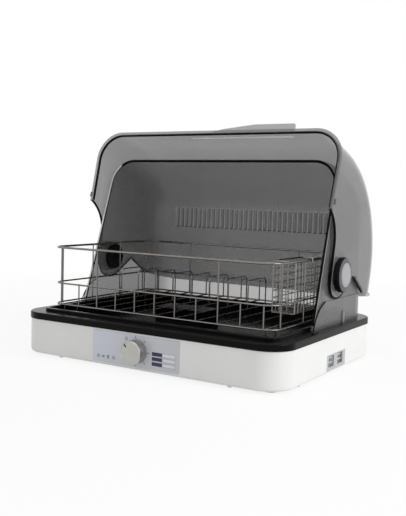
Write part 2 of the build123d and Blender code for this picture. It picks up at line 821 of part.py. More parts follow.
handle_z = lid_rim_z + handle_above_rim
handle_root_y = lid_front_y + handle_above_rim * tan(lid_lean)
with BuildPart() as lid_handle:
    with BuildSketch(Plane.XY.offset(handle_z)):
        with BuildLine():
            Polyline(
                (handle_root_x, handle_root_y),
                (handle_shoulder_x, handle_root_y - handle_shoulder_depth),
                (handle_flat_x, handle_root_y - handle_depth),
                (handle_end_x, handle_root_y - handle_depth),
                (handle_end_x, handle_root_y + handle_thickness),
                (handle_root_x, handle_root_y + handle_thickness),
                close=True,
            )
        make_face()
    extrude(amount=handle_thickness)
    add(lid_outer, mode=Mode.SUBTRACT)
lid_handle.part = lid_handle.part.rotate(pivot_axis, -lid_open_angle)
lid_handle.part.label = "lid_handle"
export_step(lid_handle.part, "parts/lid_handle.step")

buffer_y = lid_tip_y - buffer_behind_tip - buffer_length / 2
buffer_x = lid_half_at(buffer_y - buffer_length / 2) + lid_lip_width
with BuildPart() as lid_buffers:
    with Locations((buffer_x, buffer_y, lid_rim_z)):
        Box(buffer_thickness, buffer_length, buffer_height, align=(Align.MIN, Align.CENTER, Align.MIN))
    with Locations((-buffer_x, buffer_y, lid_rim_z)):
        Box(buffer_thickness, buffer_length, buffer_height, align=(Align.MAX, Align.CENTER, Align.MIN))
lid_buffers.part = lid_buffers.part.rotate(pivot_axis, -lid_open_angle)
lid_buffers.part.label = "lid_buffers"
export_step(lid_buffers.part, "parts/lid_buffers.step")

# Pivot knobs with their pins, caps and nuts
for side, way in (("left", -1), ("right", 1)):
    turn = (0, 90 * way, 0)
    with BuildPart() as pivot_knob:
        with Locations((way * knob_inner_x, pivot_y, pivot_z)):
            Cylinder(
                pivot_knob_diameter / 2,
                pivot_knob_thickness,
                rotation=turn,
                align=(Align.CENTER, Align.CENTER, Align.MIN),
            )
        rim = pivot_knob.edges().filter_by(GeomType.CIRCLE).sort_by(Axis.X)
        fillet(rim[-1] if way > 0 else rim[0], pivot_knob_fillet)
        with Locations((way * pin_end_x, pivot_y, pivot_z)):
            Cylinder(
                pivot_pin_diameter / 2,
                knob_inner_x - pin_end_x,
                rotation=turn,
                align=(Align.CENTER, Align.CENTER, Align.MIN),
            )
        with Locations((way * (knob_outer_x - pivot_cap_thickness + pivot_cap_proud), pivot_y, pivot_z)):
            Cylinder(
                pivot_cap_diameter / 2 + running_gap,
                pivot_cap_thickness,
                rotation=turn,
                align=(Align.CENTER, Align.CENTER, Align.MIN),
                mode=Mode.SUBTRACT,
            )
    pivot_knob.part.label = f"pivot_knob_{side}"
    export_step(pivot_knob.part, f"parts/pivot_knob_{side}.step")

    with BuildPart() as pivot_cap:
        with Locations((way * (knob_outer_x - pivot_cap_thickness + pivot_cap_proud), pivot_y, pivot_z)):
            Cylinder(
                pivot_cap_diameter / 2,
                pivot_cap_thickness,
                rotation=turn,
                align=(Align.CENTER, Align.CENTER, Align.MIN),
            )
        rim = pivot_cap.edges().filter_by(GeomType.CIRCLE).sort_by(Axis.X)
        fillet(rim[-1] if way > 0 else rim[0], pivot_cap_fillet)
    pivot_cap.part.label = f"pivot_cap_{side}"
    export_step(pivot_cap.part, f"parts/pivot_cap_{side}.step")

with BuildPart() as pivot_nuts:
    for way in (-1, 1):
        with BuildSketch(Plane.YZ.offset(way * nut_outer_x)):
            with Locations((pivot_y, pivot_z)):
                Circle(pivot_nut_diameter / 2)
                Circle(pivot_pin_diameter / 2 + running_gap, mode=Mode.SUBTRACT)
        extrude(amount=-way * pivot_nut_thickness)
pivot_nuts.part.label = "pivot_nuts"
export_step(pivot_nuts.part, "parts/pivot_nuts.step")

# Control panel
panel_z = foot_drop + panel_above_bottom + panel_height / 2
with BuildPart() as control_panel:
    with BuildSketch(Plane.XZ.offset(-front_y)):
        with Locations((panel_x, panel_z)):
            RectangleRounded(panel_width, panel_height, panel_corner_radius)
        with Locations((timer_x, timer_z)):
            Circle(timer_bush_diameter / 2 + face_gap, mode=Mode.SUBTRACT)
    extrude(amount=panel_thickness)
control_panel.part.label = "control_panel"
export_step(control_panel.part, "parts/control_panel.step")

# Timer: body behind the front wall, threaded bush through it, nut in front of the panel
bush_front_y = panel_front_y - timer_nut_thickness
shaft_back_y = front_y + housing_wall + timer_shaft_grip
with BuildPart() as timer_body:
    with Locations((timer_x, front_y + housing_wall, timer_z)):
        Box(
            timer_width, timer_depth, timer_body_height, align=(Align.CENTER, Align.MIN, Align.CENTER)
        )
    with Locations((timer_x, bush_front_y, timer_z)):
        Cylinder(
            timer_bush_diameter / 2,
            front_y + housing_wall - bush_front_y,
            rotation=(-90, 0, 0),
            align=(Align.CENTER, Align.CENTER, Align.MIN),
        )
        Cylinder(
            timer_shaft_diameter / 2 + running_gap,
            shaft_back_y + face_gap - bush_front_y,
            rotation=(-90, 0, 0),
            align=(Align.CENTER, Align.CENTER, Align.MIN),
            mode=Mode.SUBTRACT,
        )
timer_body.part.label = "timer_body"
export_step(timer_body.part, "parts/timer_body.step")

with BuildPart() as timer_nut:
    with BuildSketch(Plane.XZ.offset(-panel_front_y)):
        with Locations((timer_x, timer_z)):
            RegularPolygon(timer_nut_width / 2, 6, major_radius=False)
            Circle(timer_bush_diameter / 2 + running_gap, mode=Mode.SUBTRACT)
    extrude(amount=timer_nut_thickness)
timer_nut.part.label = "timer_nut"
export_step(timer_nut.part, "parts/timer_nut.step")

knob_front_y = knob_back_y - knob_height
shaft_front_y = knob_back_y - knob_socket_depth + face_gap
with BuildPart() as timer_shaft:
    with Locations((timer_x, shaft_front_y, timer_z)):
        Cylinder(
            timer_shaft_diameter / 2,
            shaft_back_y - shaft_front_y,
            rotation=(-90, 0, 0),
            align=(Align.CENTER, Align.CENTER, Align.MIN),
        )
timer_shaft.part.label = "timer_shaft"
export_step(timer_shaft.part, "parts/timer_shaft.step")

nut_pocket_radius = timer_nut_width * 0.6 + face_gap
with BuildPart() as timer_knob:
    with Locations((timer_x, knob_back_y, timer_z)):
        Cylinder(
            knob_diameter / 2,
            knob_height,
            rotation=(90, 0, 0),
            align=(Align.CENTER, Align.CENTER, Align.MIN),
        )
    chamfer(timer_knob.faces().sort_by(Axis.Y)[0].edges(), knob_chamfer)
    with Locations((timer_x, knob_back_y, timer_z)):
        Cylinder(
            nut_pocket_radius,
            2 * (timer_nut_thickness + face_gap),
            rotation=(90, 0, 0),
            mode=Mode.SUBTRACT,
        )
        Cylinder(
            timer_shaft_diameter / 2 + running_gap,
            2 * knob_socket_depth,
            rotation=(90, 0, 0),
            mode=Mode.SUBTRACT,
        )
    with Locations(Location((timer_x, knob_front_y, timer_z), (0, -knob_off_angle, 0))):
        Box(
            knob_groove_width,
            2 * knob_groove_depth,
            knob_diameter,
            align=(Align.CENTER, Align.CENTER, Align.MIN),
            mode=Mode.SUBTRACT,
        )
timer_knob.part.label = "timer_knob"
export_step(timer_knob.part, "parts/timer_knob.step")

# Vent insert in the right-hand wall, with its filter behind it
wall_inner_x = base_width / 2 - housing_wall
vent_flange_height = vent_z + vent_height / 2 + vent_flange_width - plate_top - face_gap
window_z = plate_top + face_gap + vent_flange_width + vent_window_height / 2
with BuildPart() as side_vent_insert:
    with BuildSketch(Plane.YZ.offset(wall_inner_x - vent_flange_thickness)):
        with Locations((vent_y, plate_top + face_gap)):
            Rectangle(vent_length + 2 * vent_flange_width, vent_flange_height, align=(Align.CENTER, Align.MIN))
    extrude(amount=vent_flange_thickness)
    with BuildSketch(Plane.YZ.offset(wall_inner_x)):
        with Locations((vent_y, vent_z)):
            Rectangle(vent_length, vent_height)
    extrude(amount=housing_wall - vent_recess)
    with BuildSketch(Plane.YZ.offset(wall_inner_x)):
        with Locations((vent_y, window_z)):
            with GridLocations(vent_window_pitch, 0, 2, 1):
                Rectangle(vent_window_width, vent_window_height)
    extrude(amount=2 * housing_wall, both=True, mode=Mode.SUBTRACT)
side_vent_insert.part.label = "side_vent_insert"
export_step(side_vent_insert.part, "parts/side_vent_insert.step")

filter_columns = int(vent_length // (filter_hole + filter_bar))
filter_rows = int(vent_flange_height // (filter_hole + filter_bar))
with BuildPart() as inlet_filter:
    with BuildSketch(Plane.YZ.offset(wall_inner_x - vent_flange_thickness)):
        with Locations((vent_y, plate_top + face_gap + vent_flange_height / 2)):
            Rectangle(vent_length, vent_flange_height)
            with GridLocations(filter_hole + filter_bar, filter_hole + filter_bar, filter_columns, filter_rows):
                Rectangle(filter_hole, filter_hole, mode=Mode.SUBTRACT)
    extrude(amount=-filter_thickness)
inlet_filter.part.label = "inlet_filter"
export_step(inlet_filter.part, "parts/inlet_filter.step")

# Fan scroll with a neck towards the heater duct
with BuildPart() as fan_scroll:
    with Locations((fan_x, fan_y, plate_top)):
        Cylinder(scroll_radius, scroll_height, align=(Align.CENTER, Align.CENTER, Align.MIN))
        Box(
            scroll_radius + scroll_neck_length,
            duct_width,
            scroll_height,
            align=(Align.MAX, Align.CENTER, Align.MIN),
        )
        Cylinder(
            scroll_radius - scroll_wall,
            scroll_height - scroll_wall,
            align=(Align.CENTER, Align.CENTER, Align.MIN),
            mode=Mode.SUBTRACT,
        )
        Box(
            scroll_radius + scroll_neck_length + overrun,
            duct_width - 2 * scroll_wall,
            scroll_height - scroll_wall,
            align=(Align.MAX, Align.CENTER, Align.MIN),
            mode=Mode.SUBTRACT,
        )
        Cylinder(scroll_inlet_diameter / 2, 4 * scroll_height, mode=Mode.SUBTRACT)
fan_scroll.part.label = "fan_scroll"
export_step(fan_scroll.part, "parts/fan_scroll.step")

with BuildPart() as fan_motor:
    with Locations((fan_x, fan_y, plate_top)):
        Cylinder(motor_diameter / 2, motor_height, align=(Align.CENTER, Align.CENTER, Align.MIN))
    with Locations((fan_x, fan_y, plate_top + motor_height)):
        Cylinder(
            motor_shaft_diameter / 2 + running_gap,
            motor_shaft_depth,
            align=(Align.CENTER, Align.CENTER, Align.MAX),
            mode=Mode.SUBTRACT,
        )
fan_motor.part.label = "fan_motor"
export_step(fan_motor.part, "parts/fan_motor.step")

shaft_bottom = plate_top + motor_height - motor_shaft_depth + face_gap
with BuildPart() as motor_shaft:
    with Locations((fan_x, fan_y, shaft_bottom)):
        Cylinder(
            motor_shaft_diameter / 2,
            impeller_bottom + impeller_height - shaft_bottom,
            align=(Align.CENTER, Align.CENTER, Align.MIN),
        )
motor_shaft.part.label = "motor_shaft"
export_step(motor_shaft.part, "parts/motor_shaft.step")

blade_middle = (impeller_diameter - blade_length) / 2
with BuildPart() as fan_impeller:
    with Locations((fan_x, fan_y, impeller_bottom)):
        Cylinder(
            impeller_diameter / 2, impeller_disc_thickness, align=(Align.CENTER, Align.CENTER, Align.MIN)
        )
        Cylinder(impeller_hub_diameter / 2, impeller_height, align=(Align.CENTER, Align.CENTER, Align.MIN))
    with Locations((fan_x, fan_y, impeller_bottom)):
        with PolarLocations(blade_middle, blade_count):
            Box(
                blade_length,
                blade_thickness,
                impeller_height - impeller_disc_thickness,
                align=(Align.CENTER, Align.CENTER, Align.MIN),
            )
    with BuildSketch(Plane.XY.offset(impeller_bottom + impeller_height - impeller_disc_thickness)):
        with Locations((fan_x, fan_y)):
            Circle(impeller_diameter / 2)
            Circle(impeller_diameter / 2 - impeller_ring_width, mode=Mode.SUBTRACT)
    extrude(amount=impeller_disc_thickness)
    with Locations((fan_x, fan_y, impeller_bottom)):
        Cylinder(motor_shaft_diameter / 2, 4 * impeller_height, mode=Mode.SUBTRACT)
fan_impeller.part.label = "fan_impeller"
export_step(fan_impeller.part, "parts/fan_impeller.step")

# Heater duct from the scroll's neck to the riser under the tray's outlet
duct_end_x = outlet_x - outlet_length / 2 - outlet_collar_wall
riser_x = outlet_x + outlet_length / 2 + outlet_collar_wall
with BuildPart() as heater_duct:
    with Locations((neck_end_x, fan_y, plate_top)):
        Box(
            neck_end_x - duct_end_x,
            duct_width,
            scroll_height,
            align=(Align.MAX, Align.CENTER, Align.MIN),
        )
        Box(
            neck_end_x - duct_end_x - duct_wall,
            duct_width - 2 * duct_wall,
            scroll_height - duct_wall,
            align=(Align.MAX, Align.CENTER, Align.MIN),
            mode=Mode.SUBTRACT,
        )
    with Locations((duct_end_x, fan_y, duct_top)):
        Box(
            riser_x - duct_end_x,
            duct_width,
            basin_underside - duct_top,
            align=(Align.MIN, Align.CENTER, Align.MIN),
        )
    with Locations((duct_end_x + duct_wall, fan_y, duct_top - duct_wall - overrun)):
        Box(
            riser_x - duct_end_x - 2 * duct_wall,
            duct_width - 2 * duct_wall,
            basin_depth,
            align=(Align.MIN, Align.CENTER, Align.MIN),
            mode=Mode.SUBTRACT,
        )
heater_duct.part.label = "heater_duct"
export_step(heater_duct.part, "parts/heater_duct.step")

heater_height = scroll_height - duct_wall
heater_width = duct_width - 2 * duct_wall
heater_x = (neck_end_x + riser_x) / 2
fin_height = heater_height - 2 * heater_plate_thickness
fin_pitch = (heater_width - heater_fin_thickness) / (heater_fin_count - 1)
with BuildPart() as heater:
    with Locations((heater_x, fan_y, plate_top), (heater_x, fan_y, plate_top + heater_height - heater_plate_thickness)):
        Box(
            heater_length,
            heater_width,
            heater_plate_thickness,
            align=(Align.CENTER, Align.CENTER, Align.MIN),
        )
    with Locations((heater_x, fan_y, plate_top + heater_plate_thickness)):
        with GridLocations(0, fin_pitch, 1, heater_fin_count):
            Box(
                heater_length,
                heater_fin_thickness,
                fin_height,
                align=(Align.CENTER, Align.CENTER, Align.MIN),
            )
heater.part.label = "heater"
export_step(heater.part, "parts/heater.step")

with BuildPart() as thermostat:
    with Locations((heater_x, fan_y, duct_top)):
        Cylinder(
            thermostat_diameter / 2, thermostat_height, align=(Align.CENTER, Align.CENTER, Align.MIN)
        )
thermostat.part.label = "thermostat"
export_step(thermostat.part, "parts/thermostat.step")

with BuildPart() as thermal_fuse:
    with Locations((heater_x + thermostat_diameter, fan_y, duct_top + fuse_diameter / 2)):
        Cylinder(fuse_diameter / 2, fuse_length, rotation=(90, 0, 0))
thermal_fuse.part.label = "thermal_fuse"
export_step(thermal_fuse.part, "parts/thermal_fuse.step")

with BuildPart() as terminal_block:
    with Locations((terminal_x, terminal_y, plate_top)):
        Box(
            terminal_length, terminal_width, terminal_height, align=(Align.CENTER, Align.CENTER, Align.MIN)
        )
    chamfer(terminal_block.faces().sort_by(Axis.Z)[-1].edges(), housing_wall)
terminal_block.part.label = "terminal_block"
export_step(terminal_block.part, "parts/terminal_block.step")

# Gland for a mains lead in the rear wall
with BuildPart() as cord_gland:
    with Locations((gland_x, -front_y + gland_flange_thickness, gland_z)):
        Cylinder(
            gland_flange_diameter / 2,
            gland_flange_thickness,
            rotation=(90, 0, 0),
            align=(Align.CENTER, Align.CENTER, Align.MIN),
        )
        Cylinder(
            gland_diameter / 2,
            gland_flange_thickness + housing_wall + gland_inside,
            rotation=(90, 0, 0),
            align=(Align.CENTER, Align.CENTER, Align.MIN),
        )
        Cylinder(gland_bore / 2, 4 * gland_inside, rotation=(90, 0, 0), mode=Mode.SUBTRACT)
cord_gland.part.label = "cord_gland"
export_step(cord_gland.part, "parts/cord_gland.step")

# Inner wiring, lying on the bottom plate
loom_z = plate_top + loom_diameter / 2
terminal_left = terminal_x - terminal_length / 4
terminal_right = terminal_x + terminal_length / 4
terminal_front = terminal_y - terminal_width / 2
timer_back_y = front_y + housing_wall + timer_depth
duct_rear_y = fan_y + duct_width / 2
wiring_timer = bent_wire(
    [
        (terminal_left, terminal_front, loom_z),
        (terminal_left, timer_back_y + 2 * loom_radius, loom_z),
        (timer_x, timer_back_y + 2 * loom_radius, loom_z),
        (timer_x, timer_back_y + loom_diameter, loom_z),
    ],
    loom_diameter,
    loom_radius,
)
wiring_heater = bent_wire(
    [
        (terminal_x + terminal_length / 2, terminal_y, loom_z),
        (heater_x, terminal_y, loom_z),
        (heater_x, duct_rear_y, loom_z),
    ],
    loom_diameter,
    loom_radius,
)
with BuildPart() as wiring_loom:
    add(wiring_timer)
    add(wiring_heater)
wiring_loom.part.label = "wiring_loom"
export_step(wiring_loom.part, "parts/wiring_loom.step")

# Wire rack: three flat loops with uprights welded to their inner side
top_frame = wire_loop(
    rack_top_z, rack_top_wire, rack_half_width, rack_front_y, rack_back_y, rack_corner_radius
)
mid_frame = wire_loop(rack_mid_z, rack_wire, rack_half_width, rack_front_y, rack_back_y, rack_corner_radius)
floor_frame = wire_loop(
    rack_floor_z, rack_wire, rack_half_width, rack_front_y, rack_back_y, rack_corner_radius
)
for name, loop in (
    ("rack_top_frame", top_frame),
    ("rack_mid_frame", mid_frame),
    ("rack_floor_frame", floor_frame),
):
    with BuildPart() as frame_loop:
        add(loop)
    frame_loop.part.label = name
    export_step(frame_loop.part, f"parts/{name}.step")

upright_bottom = rack_floor_z - rack_wire / 2
short_height = rack_mid_z + rack_wire / 2 - upright_bottom
tall_height = rack_top_z + rack_top_wire / 2 - upright_bottom
short_xs = [x for i, x in enumerate(upright_xs) if i not in tall_uprights]
tall_xs = [x for i, x in enumerate(upright_xs) if i in tall_uprights]
front_upright_y = rack_front_y + upright_inset
rear_upright_y = rack_back_y - upright_inset
for name, wall_y in (("rack_front_uprights", front_upright_y), ("rack_rear_uprights", rear_upright_y)):
    with BuildPart() as uprights:
        with Locations(*[(x, wall_y, upright_bottom) for x in short_xs]):
            Cylinder(upright_wire / 2, short_height, align=(Align.CENTER, Align.CENTER, Align.MIN))
        with Locations(*[(x, wall_y, upright_bottom) for x in tall_xs]):
            Cylinder(upright_wire / 2, tall_height, align=(Align.CENTER, Align.CENTER, Align.MIN))
    uprights.part.label = name
    export_step(uprights.part, f"parts/{name}.step")

side_upright_x = rack_half_width - upright_inset
for name, wall_x in (("rack_left_uprights", -side_upright_x), ("rack_right_uprights", side_upright_x)):
    with BuildPart() as uprights:
        with Locations(*[(wall_x, y, upright_bottom) for y in side_upright_ys]):
            Cylinder(upright_wire / 2, tall_height, align=(Align.CENTER, Align.CENTER, Align.MIN))
    uprights.part.label = name
    export_step(uprights.part, f"parts/{name}.step")

floor_wire_length = rear_upright_y - front_upright_y - upright_wire + 2 * weld_sink
with BuildPart() as rack_floor_wires:
    with Locations(*[(x, rack_middle_y, rack_floor_z) for x in upright_xs]):
        Cylinder(upright_wire / 2, floor_wire_length, rotation=(90, 0, 0))
rack_floor_wires.part.label = "rack_floor_wires"
export_step(rack_floor_wires.part, "parts/rack_floor_wires.step")

# Rack feet: bent wires standing on the basin floor, welded under the floor wires
foot_low_z = basin_floor + upright_wire / 2
foot_weld_z = rack_floor_z - upright_wire / 2 + weld_sink
foot_front_y = rack_front_y + rack_foot_inset
foot_back_y = rack_back_y - rack_foot_inset
rack_foot_parts = [
    bent_wire(
        [
            (x, y - rack_foot_width / 2, foot_weld_z),
            (x, y - rack_foot_width / 2, foot_low_z),
            (x, y + rack_foot_width / 2, foot_low_z),
            (x, y + rack_foot_width / 2, foot_weld_z),
        ],
        upright_wire,
        rack_foot_bend,
    )
    for x in (upright_xs[0], upright_xs[-1])
    for y in (foot_front_y, foot_back_y)
]
with BuildPart() as rack_feet:
    add(rack_foot_parts)
rack_feet.part.label = "rack_feet"
export_step(rack_feet.part, "parts/rack_feet.step")

# Plate dividers: upturned bends welded on the floor wires
divider_foot_z = rack_floor_z + upright_wire / 2 - weld_sink
divider_parts = [
    bent_wire(
        [
            (x, divider_front_y, divider_foot_z),
            (x, divider_front_y, rack_floor_z + divider_height),
            (x, divider_front_y + divider_length, rack_floor_z + divider_height),
            (x, divider_front_y + divider_length, divider_foot_z),
        ],
        upright_wire,
        divider_bend,
    )
    for x in upright_xs[:divider_count]
]
with BuildPart() as plate_dividers:
    add(divider_parts)
plate_dividers.part.label = "plate_dividers"
export_step(plate_dividers.part, "parts/plate_dividers.step")

# Cutlery basket: five mesh panels under a wire rim, hung on the rack's right-hand top wire
wall_middle_z = (basket_top + basket_bottom) / 2
half_mesh = mesh_thickness / 2
end_panel = mesh_panel(basket_width, basket_depth)
side_panel = mesh_panel(basket_length - 2 * mesh_thickness, basket_depth)
floor_panel = mesh_panel(basket_width - 2 * mesh_thickness, basket_length - 2 * mesh_thickness)
front_plane = Plane(
    origin=(basket_middle_x, basket_front_y + half_mesh, wall_middle_z), x_dir=(1, 0, 0), z_dir=(0, -1, 0)
)
back_plane = Plane(
    origin=(basket_middle_x, basket_front_y + basket_length - half_mesh, wall_middle_z),
    x_dir=(1, 0, 0),
    z_dir=(0, -1, 0),
)
inner_plane = Plane(
    origin=(basket_inner_x + half_mesh, basket_middle_y, wall_middle_z), x_dir=(0, 1, 0), z_dir=(1, 0, 0)
)
outer_plane = Plane(
    origin=(basket_outer_x - half_mesh, basket_middle_y, wall_middle_z), x_dir=(0, 1, 0), z_dir=(1, 0, 0)
)
base_plane = Plane(origin=(basket_middle_x, basket_middle_y, basket_bottom + half_mesh))
for name, panel, plane in (
    ("basket_front", end_panel, front_plane),
    ("basket_back", end_panel, back_plane),
    ("basket_inner_side", side_panel, inner_plane),
    ("basket_outer_side", side_panel, outer_plane),
    ("basket_floor", floor_panel, base_plane),
):
    with BuildPart() as basket_wall:
        add(panel.moved(plane.location))
    basket_wall.part.label = name
    export_step(basket_wall.part, f"parts/{name}.step")

rim_half_width = basket_width / 2 - half_mesh - basket_rim_wire / 2
rim_low_y = basket_front_y + half_mesh + basket_rim_wire / 2
rim_high_y = basket_front_y + basket_length - half_mesh - basket_rim_wire / 2
rim_loop = wire_loop(basket_rim_z, basket_rim_wire, rim_half_width, rim_low_y, rim_high_y, mesh_pitch / 2)
with BuildPart() as basket_rim:
    with Locations((basket_middle_x, 0, 0)):
        add(rim_loop)
basket_rim.part.label = "basket_rim"
export_step(basket_rim.part, "parts/basket_rim.step")

hook_root_x = basket_outer_x - half_mesh + (basket_rim_wire + hook_wire) / 2 - weld_sink
hook_top_z = rack_top_z + (rack_top_wire + hook_wire) / 2 + face_gap
hook_outer_x = rack_half_width + rack_top_wire + face_gap + hook_wire / 2
hook_bend = (rack_top_wire + hook_wire) / 2 + face_gap
hook_parts = [
    bent_wire(
        [
            (hook_root_x, y, basket_rim_z - basket_rim_wire),
            (hook_root_x, y, hook_top_z),
            (hook_outer_x, y, hook_top_z),
            (hook_outer_x, y, hook_top_z - hook_lip),
        ],
        hook_wire,
        hook_bend,
    )
    for y in (basket_front_y + hook_inset, basket_front_y + basket_length - hook_inset)
]
with BuildPart() as basket_hooks:
    add(hook_parts)
basket_hooks.part.label = "basket_hooks"
export_step(basket_hooks.part, "parts/basket_hooks.step")
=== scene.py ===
"""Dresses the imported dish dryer: finishes for every node, round wires, knobs, edge lines and printed marks.

Metres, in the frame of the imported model: +Z up, +X to the right as seen from the front, +Y to the rear.
"""

import logging
from dataclasses import dataclass, field
from enum import Enum
from functools import lru_cache
from typing import Any, Iterable, Sequence

import bmesh
import bpy
import numpy as np
from mathutils import Matrix, Vector

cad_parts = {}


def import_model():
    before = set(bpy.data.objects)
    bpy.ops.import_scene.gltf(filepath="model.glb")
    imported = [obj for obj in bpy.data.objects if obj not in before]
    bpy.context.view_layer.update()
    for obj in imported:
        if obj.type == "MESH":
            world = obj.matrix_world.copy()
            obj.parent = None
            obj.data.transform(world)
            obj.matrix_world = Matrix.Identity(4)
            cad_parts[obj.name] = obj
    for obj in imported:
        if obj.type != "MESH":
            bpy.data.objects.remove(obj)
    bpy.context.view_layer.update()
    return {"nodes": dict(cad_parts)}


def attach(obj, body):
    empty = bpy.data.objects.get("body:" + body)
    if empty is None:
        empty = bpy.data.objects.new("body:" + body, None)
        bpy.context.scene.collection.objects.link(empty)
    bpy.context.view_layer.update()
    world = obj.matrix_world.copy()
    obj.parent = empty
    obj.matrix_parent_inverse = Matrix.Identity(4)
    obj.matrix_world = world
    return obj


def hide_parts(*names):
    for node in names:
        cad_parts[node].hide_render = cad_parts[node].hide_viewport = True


LOG = logging.getLogger("dish_dryer")
Triple = tuple[float, float, float]
Colour = Triple
Pair = tuple[float, float]
Profile = tuple[Pair, ...]
Numbers = tuple[float, ...]
Place = Sequence[float]
UPWARD = (0.0, 0.0, 1.0)
RIGHTWARD = (1.0, 0.0, 0.0)
REARWARD = (0.0, 1.0, 0.0)
FORWARD = (0.0, -1.0, 0.0)
SIDES = (("left", -1), ("right", 1))


def unit(vectors: np.ndarray) -> np.ndarray:
    """Vectors divided by their lengths, along the last axis."""
    return vectors / np.linalg.norm(vectors, axis=-1, keepdims=True)


def places(x: Any, y: Any, z: Any) -> np.ndarray:
    """Points from numbers or arrays of x, y and z, each spread over the others."""
    return np.stack(np.broadcast_arrays(x, y, z), -1)


def row(count: int, pitch: float) -> np.ndarray:
    """Even places about zero."""
    return (np.arange(count) - (count - 1) / 2) * pitch


def round_angles(steps: int) -> np.ndarray:
    """Even angles once round a circle."""
    return np.linspace(0, 2 * np.pi, steps, endpoint=False)


def spun(angle: np.ndarray, first: np.ndarray, second: np.ndarray) -> np.ndarray:
    """First * cos(angle) + second * sin(angle), a vector for each angle."""
    return np.cos(angle)[..., None] * first + np.sin(angle)[..., None] * second


def square_pair(axis: np.ndarray) -> tuple[np.ndarray, np.ndarray]:
    """Two directions square to each axis and to each other, from a helper that the axis isn't near.

    Args:
        axis: Unit vectors, along the last axis.

    Returns:
        The first and the second direction.
    """
    helper = np.where(np.abs(axis[..., 2:]) < 0.9, UPWARD, RIGHTWARD)
    first = unit(np.cross(axis, helper))
    return first, np.cross(axis, first)


@dataclass
class Surface:
    """A mesh as whole arrays.

    Attributes:
        points: Places of the vertices, one row each.
        blocks: Vertex numbers of the faces, an array for each run of faces with equally many corners.
    """

    points: np.ndarray
    blocks: list[np.ndarray]

    def mesh(self, name: str) -> bpy.types.Mesh:
        """A new mesh with these points and faces.

        Args:
            name: The mesh's name.

        Returns:
            The mesh.
        """
        mesh = bpy.data.meshes.new(name)
        faces = [face for block in self.blocks for face in block.tolist()]
        mesh.from_pydata(self.points.tolist(), [], faces)
        return mesh

    @staticmethod
    def joined(parts: Iterable["Surface"]) -> "Surface":
        """Several surfaces as one, each part's vertex numbers raised by the points before it.

        Args:
            parts: The surfaces to put together.

        Returns:
            One surface with all points and faces.
        """
        whole = list(parts)
        starts = np.cumsum([0] + [len(part.points) for part in whole])
        blocks = [block + start for part, start in zip(whole, starts) for block in part.blocks]
        return Surface(np.concatenate([part.points for part in whole]), blocks)


def lattice(grid: np.ndarray, wrap_u: bool, wrap_v: bool, ends: bool = False) -> Surface:
    """Joins neighbours on one or more grids of points into four-cornered faces.

    Args:
        grid: Points as (u, v, 3), or (count, u, v, 3) for many equal grids.
        wrap_u: Whether the last row meets the first.
        wrap_v: Whether the last column meets the first.
        ends: Whether a face closes each grid's first row, and another its last.

    Returns:
        The surface through the points.
    """
    count, rows, columns = grid.shape[:3] if grid.ndim == 4 else (1, *grid.shape[:2])
    u = np.arange(rows if wrap_u else rows - 1)[:, None]
    v = np.arange(columns if wrap_v else columns - 1)
    next_u, next_v = (u + 1) % rows, (v + 1) % columns
    corners = [u * columns + v, next_u * columns + v, next_u * columns + next_v, u * columns + next_v]
    starts = np.arange(count)[:, None] * rows * columns
    quads = np.stack(corners, -1).reshape(-1, 4) + starts[..., None]
    blocks = [quads.reshape(-1, 4)]
    if ends:
        first = starts + np.arange(columns)
        blocks += [first, first[:, ::-1] + (rows - 1) * columns]
    return Surface(grid.reshape(-1, 3), blocks)


def bent_path(corners: Sequence[Place], radius: float, closed: bool = False, steps: int = 9) -> np.ndarray:
    """A path whose corners give way to arcs tangent to both runs.

    An arc's centre lies on the corner's bisector, radius / sin(half angle) away from the corner.

    Args:
        corners: The path's corner points.
        radius: The bend radius of every corner.
        closed: Whether the last corner runs on to the first.
        steps: Points on each arc.

    Returns:
        The points along the path.
    """
    tiny = 1e-12
    knees = np.asarray(corners, float)
    back = unit(np.roll(knees, 1, 0) - knees)
    ahead = unit(np.roll(knees, -1, 0) - knees)
    half = 0.5 * np.arccos(np.clip((back * ahead).sum(-1), -1, 1))
    inward = unit(back + ahead + tiny)
    across = unit(ahead - back)
    centre = knees + inward * (radius / np.sin(half))[:, None]
    spread = (np.pi / 2 - half)[:, None] * np.linspace(-1, 1, steps)
    arcs = centre[:, None] + radius * spun(spread, -inward[:, None], across[:, None])
    if closed:
        return arcs.reshape(-1, 3)
    return np.concatenate([knees[:1], arcs[1:-1].reshape(-1, 3), knees[-1:]])


def side_arc(centre: Place, radius: float, start: float, end: float, steps: int) -> np.ndarray:
    """An arc at x zero: centre + radius * (cos a, sin a) in y and z, for even angles a from start to end."""
    turn = np.linspace(start, end, steps)
    return places(0.0, centre[0] + radius * np.cos(turn), centre[1] + radius * np.sin(turn))


def tube(path: np.ndarray, radius: float, normal: Place, closed: bool = False, sides: int = 12) -> Surface:
    """Round wire: a circle carried along a path that lies in one plane.

    A point is the path's point plus radius * (side * cos a + normal * sin a), with side square to the run.

    Args:
        path: Points along the wire's middle.
        radius: Half the wire's thickness.
        normal: Direction square to the path's plane.
        closed: Whether the wire is a loop.
        sides: Points round the circle.

    Returns:
        The closed surface of the wire.
    """
    run = np.roll(path, -1, 0) - np.roll(path, 1, 0) if closed else np.gradient(path, axis=0)
    up = unit(np.asarray(normal, float))
    side = unit(np.cross(run, up))
    ring = spun(round_angles(sides), side[:, None], up)
    return lattice(path[:, None] + radius * ring, closed, True, not closed)


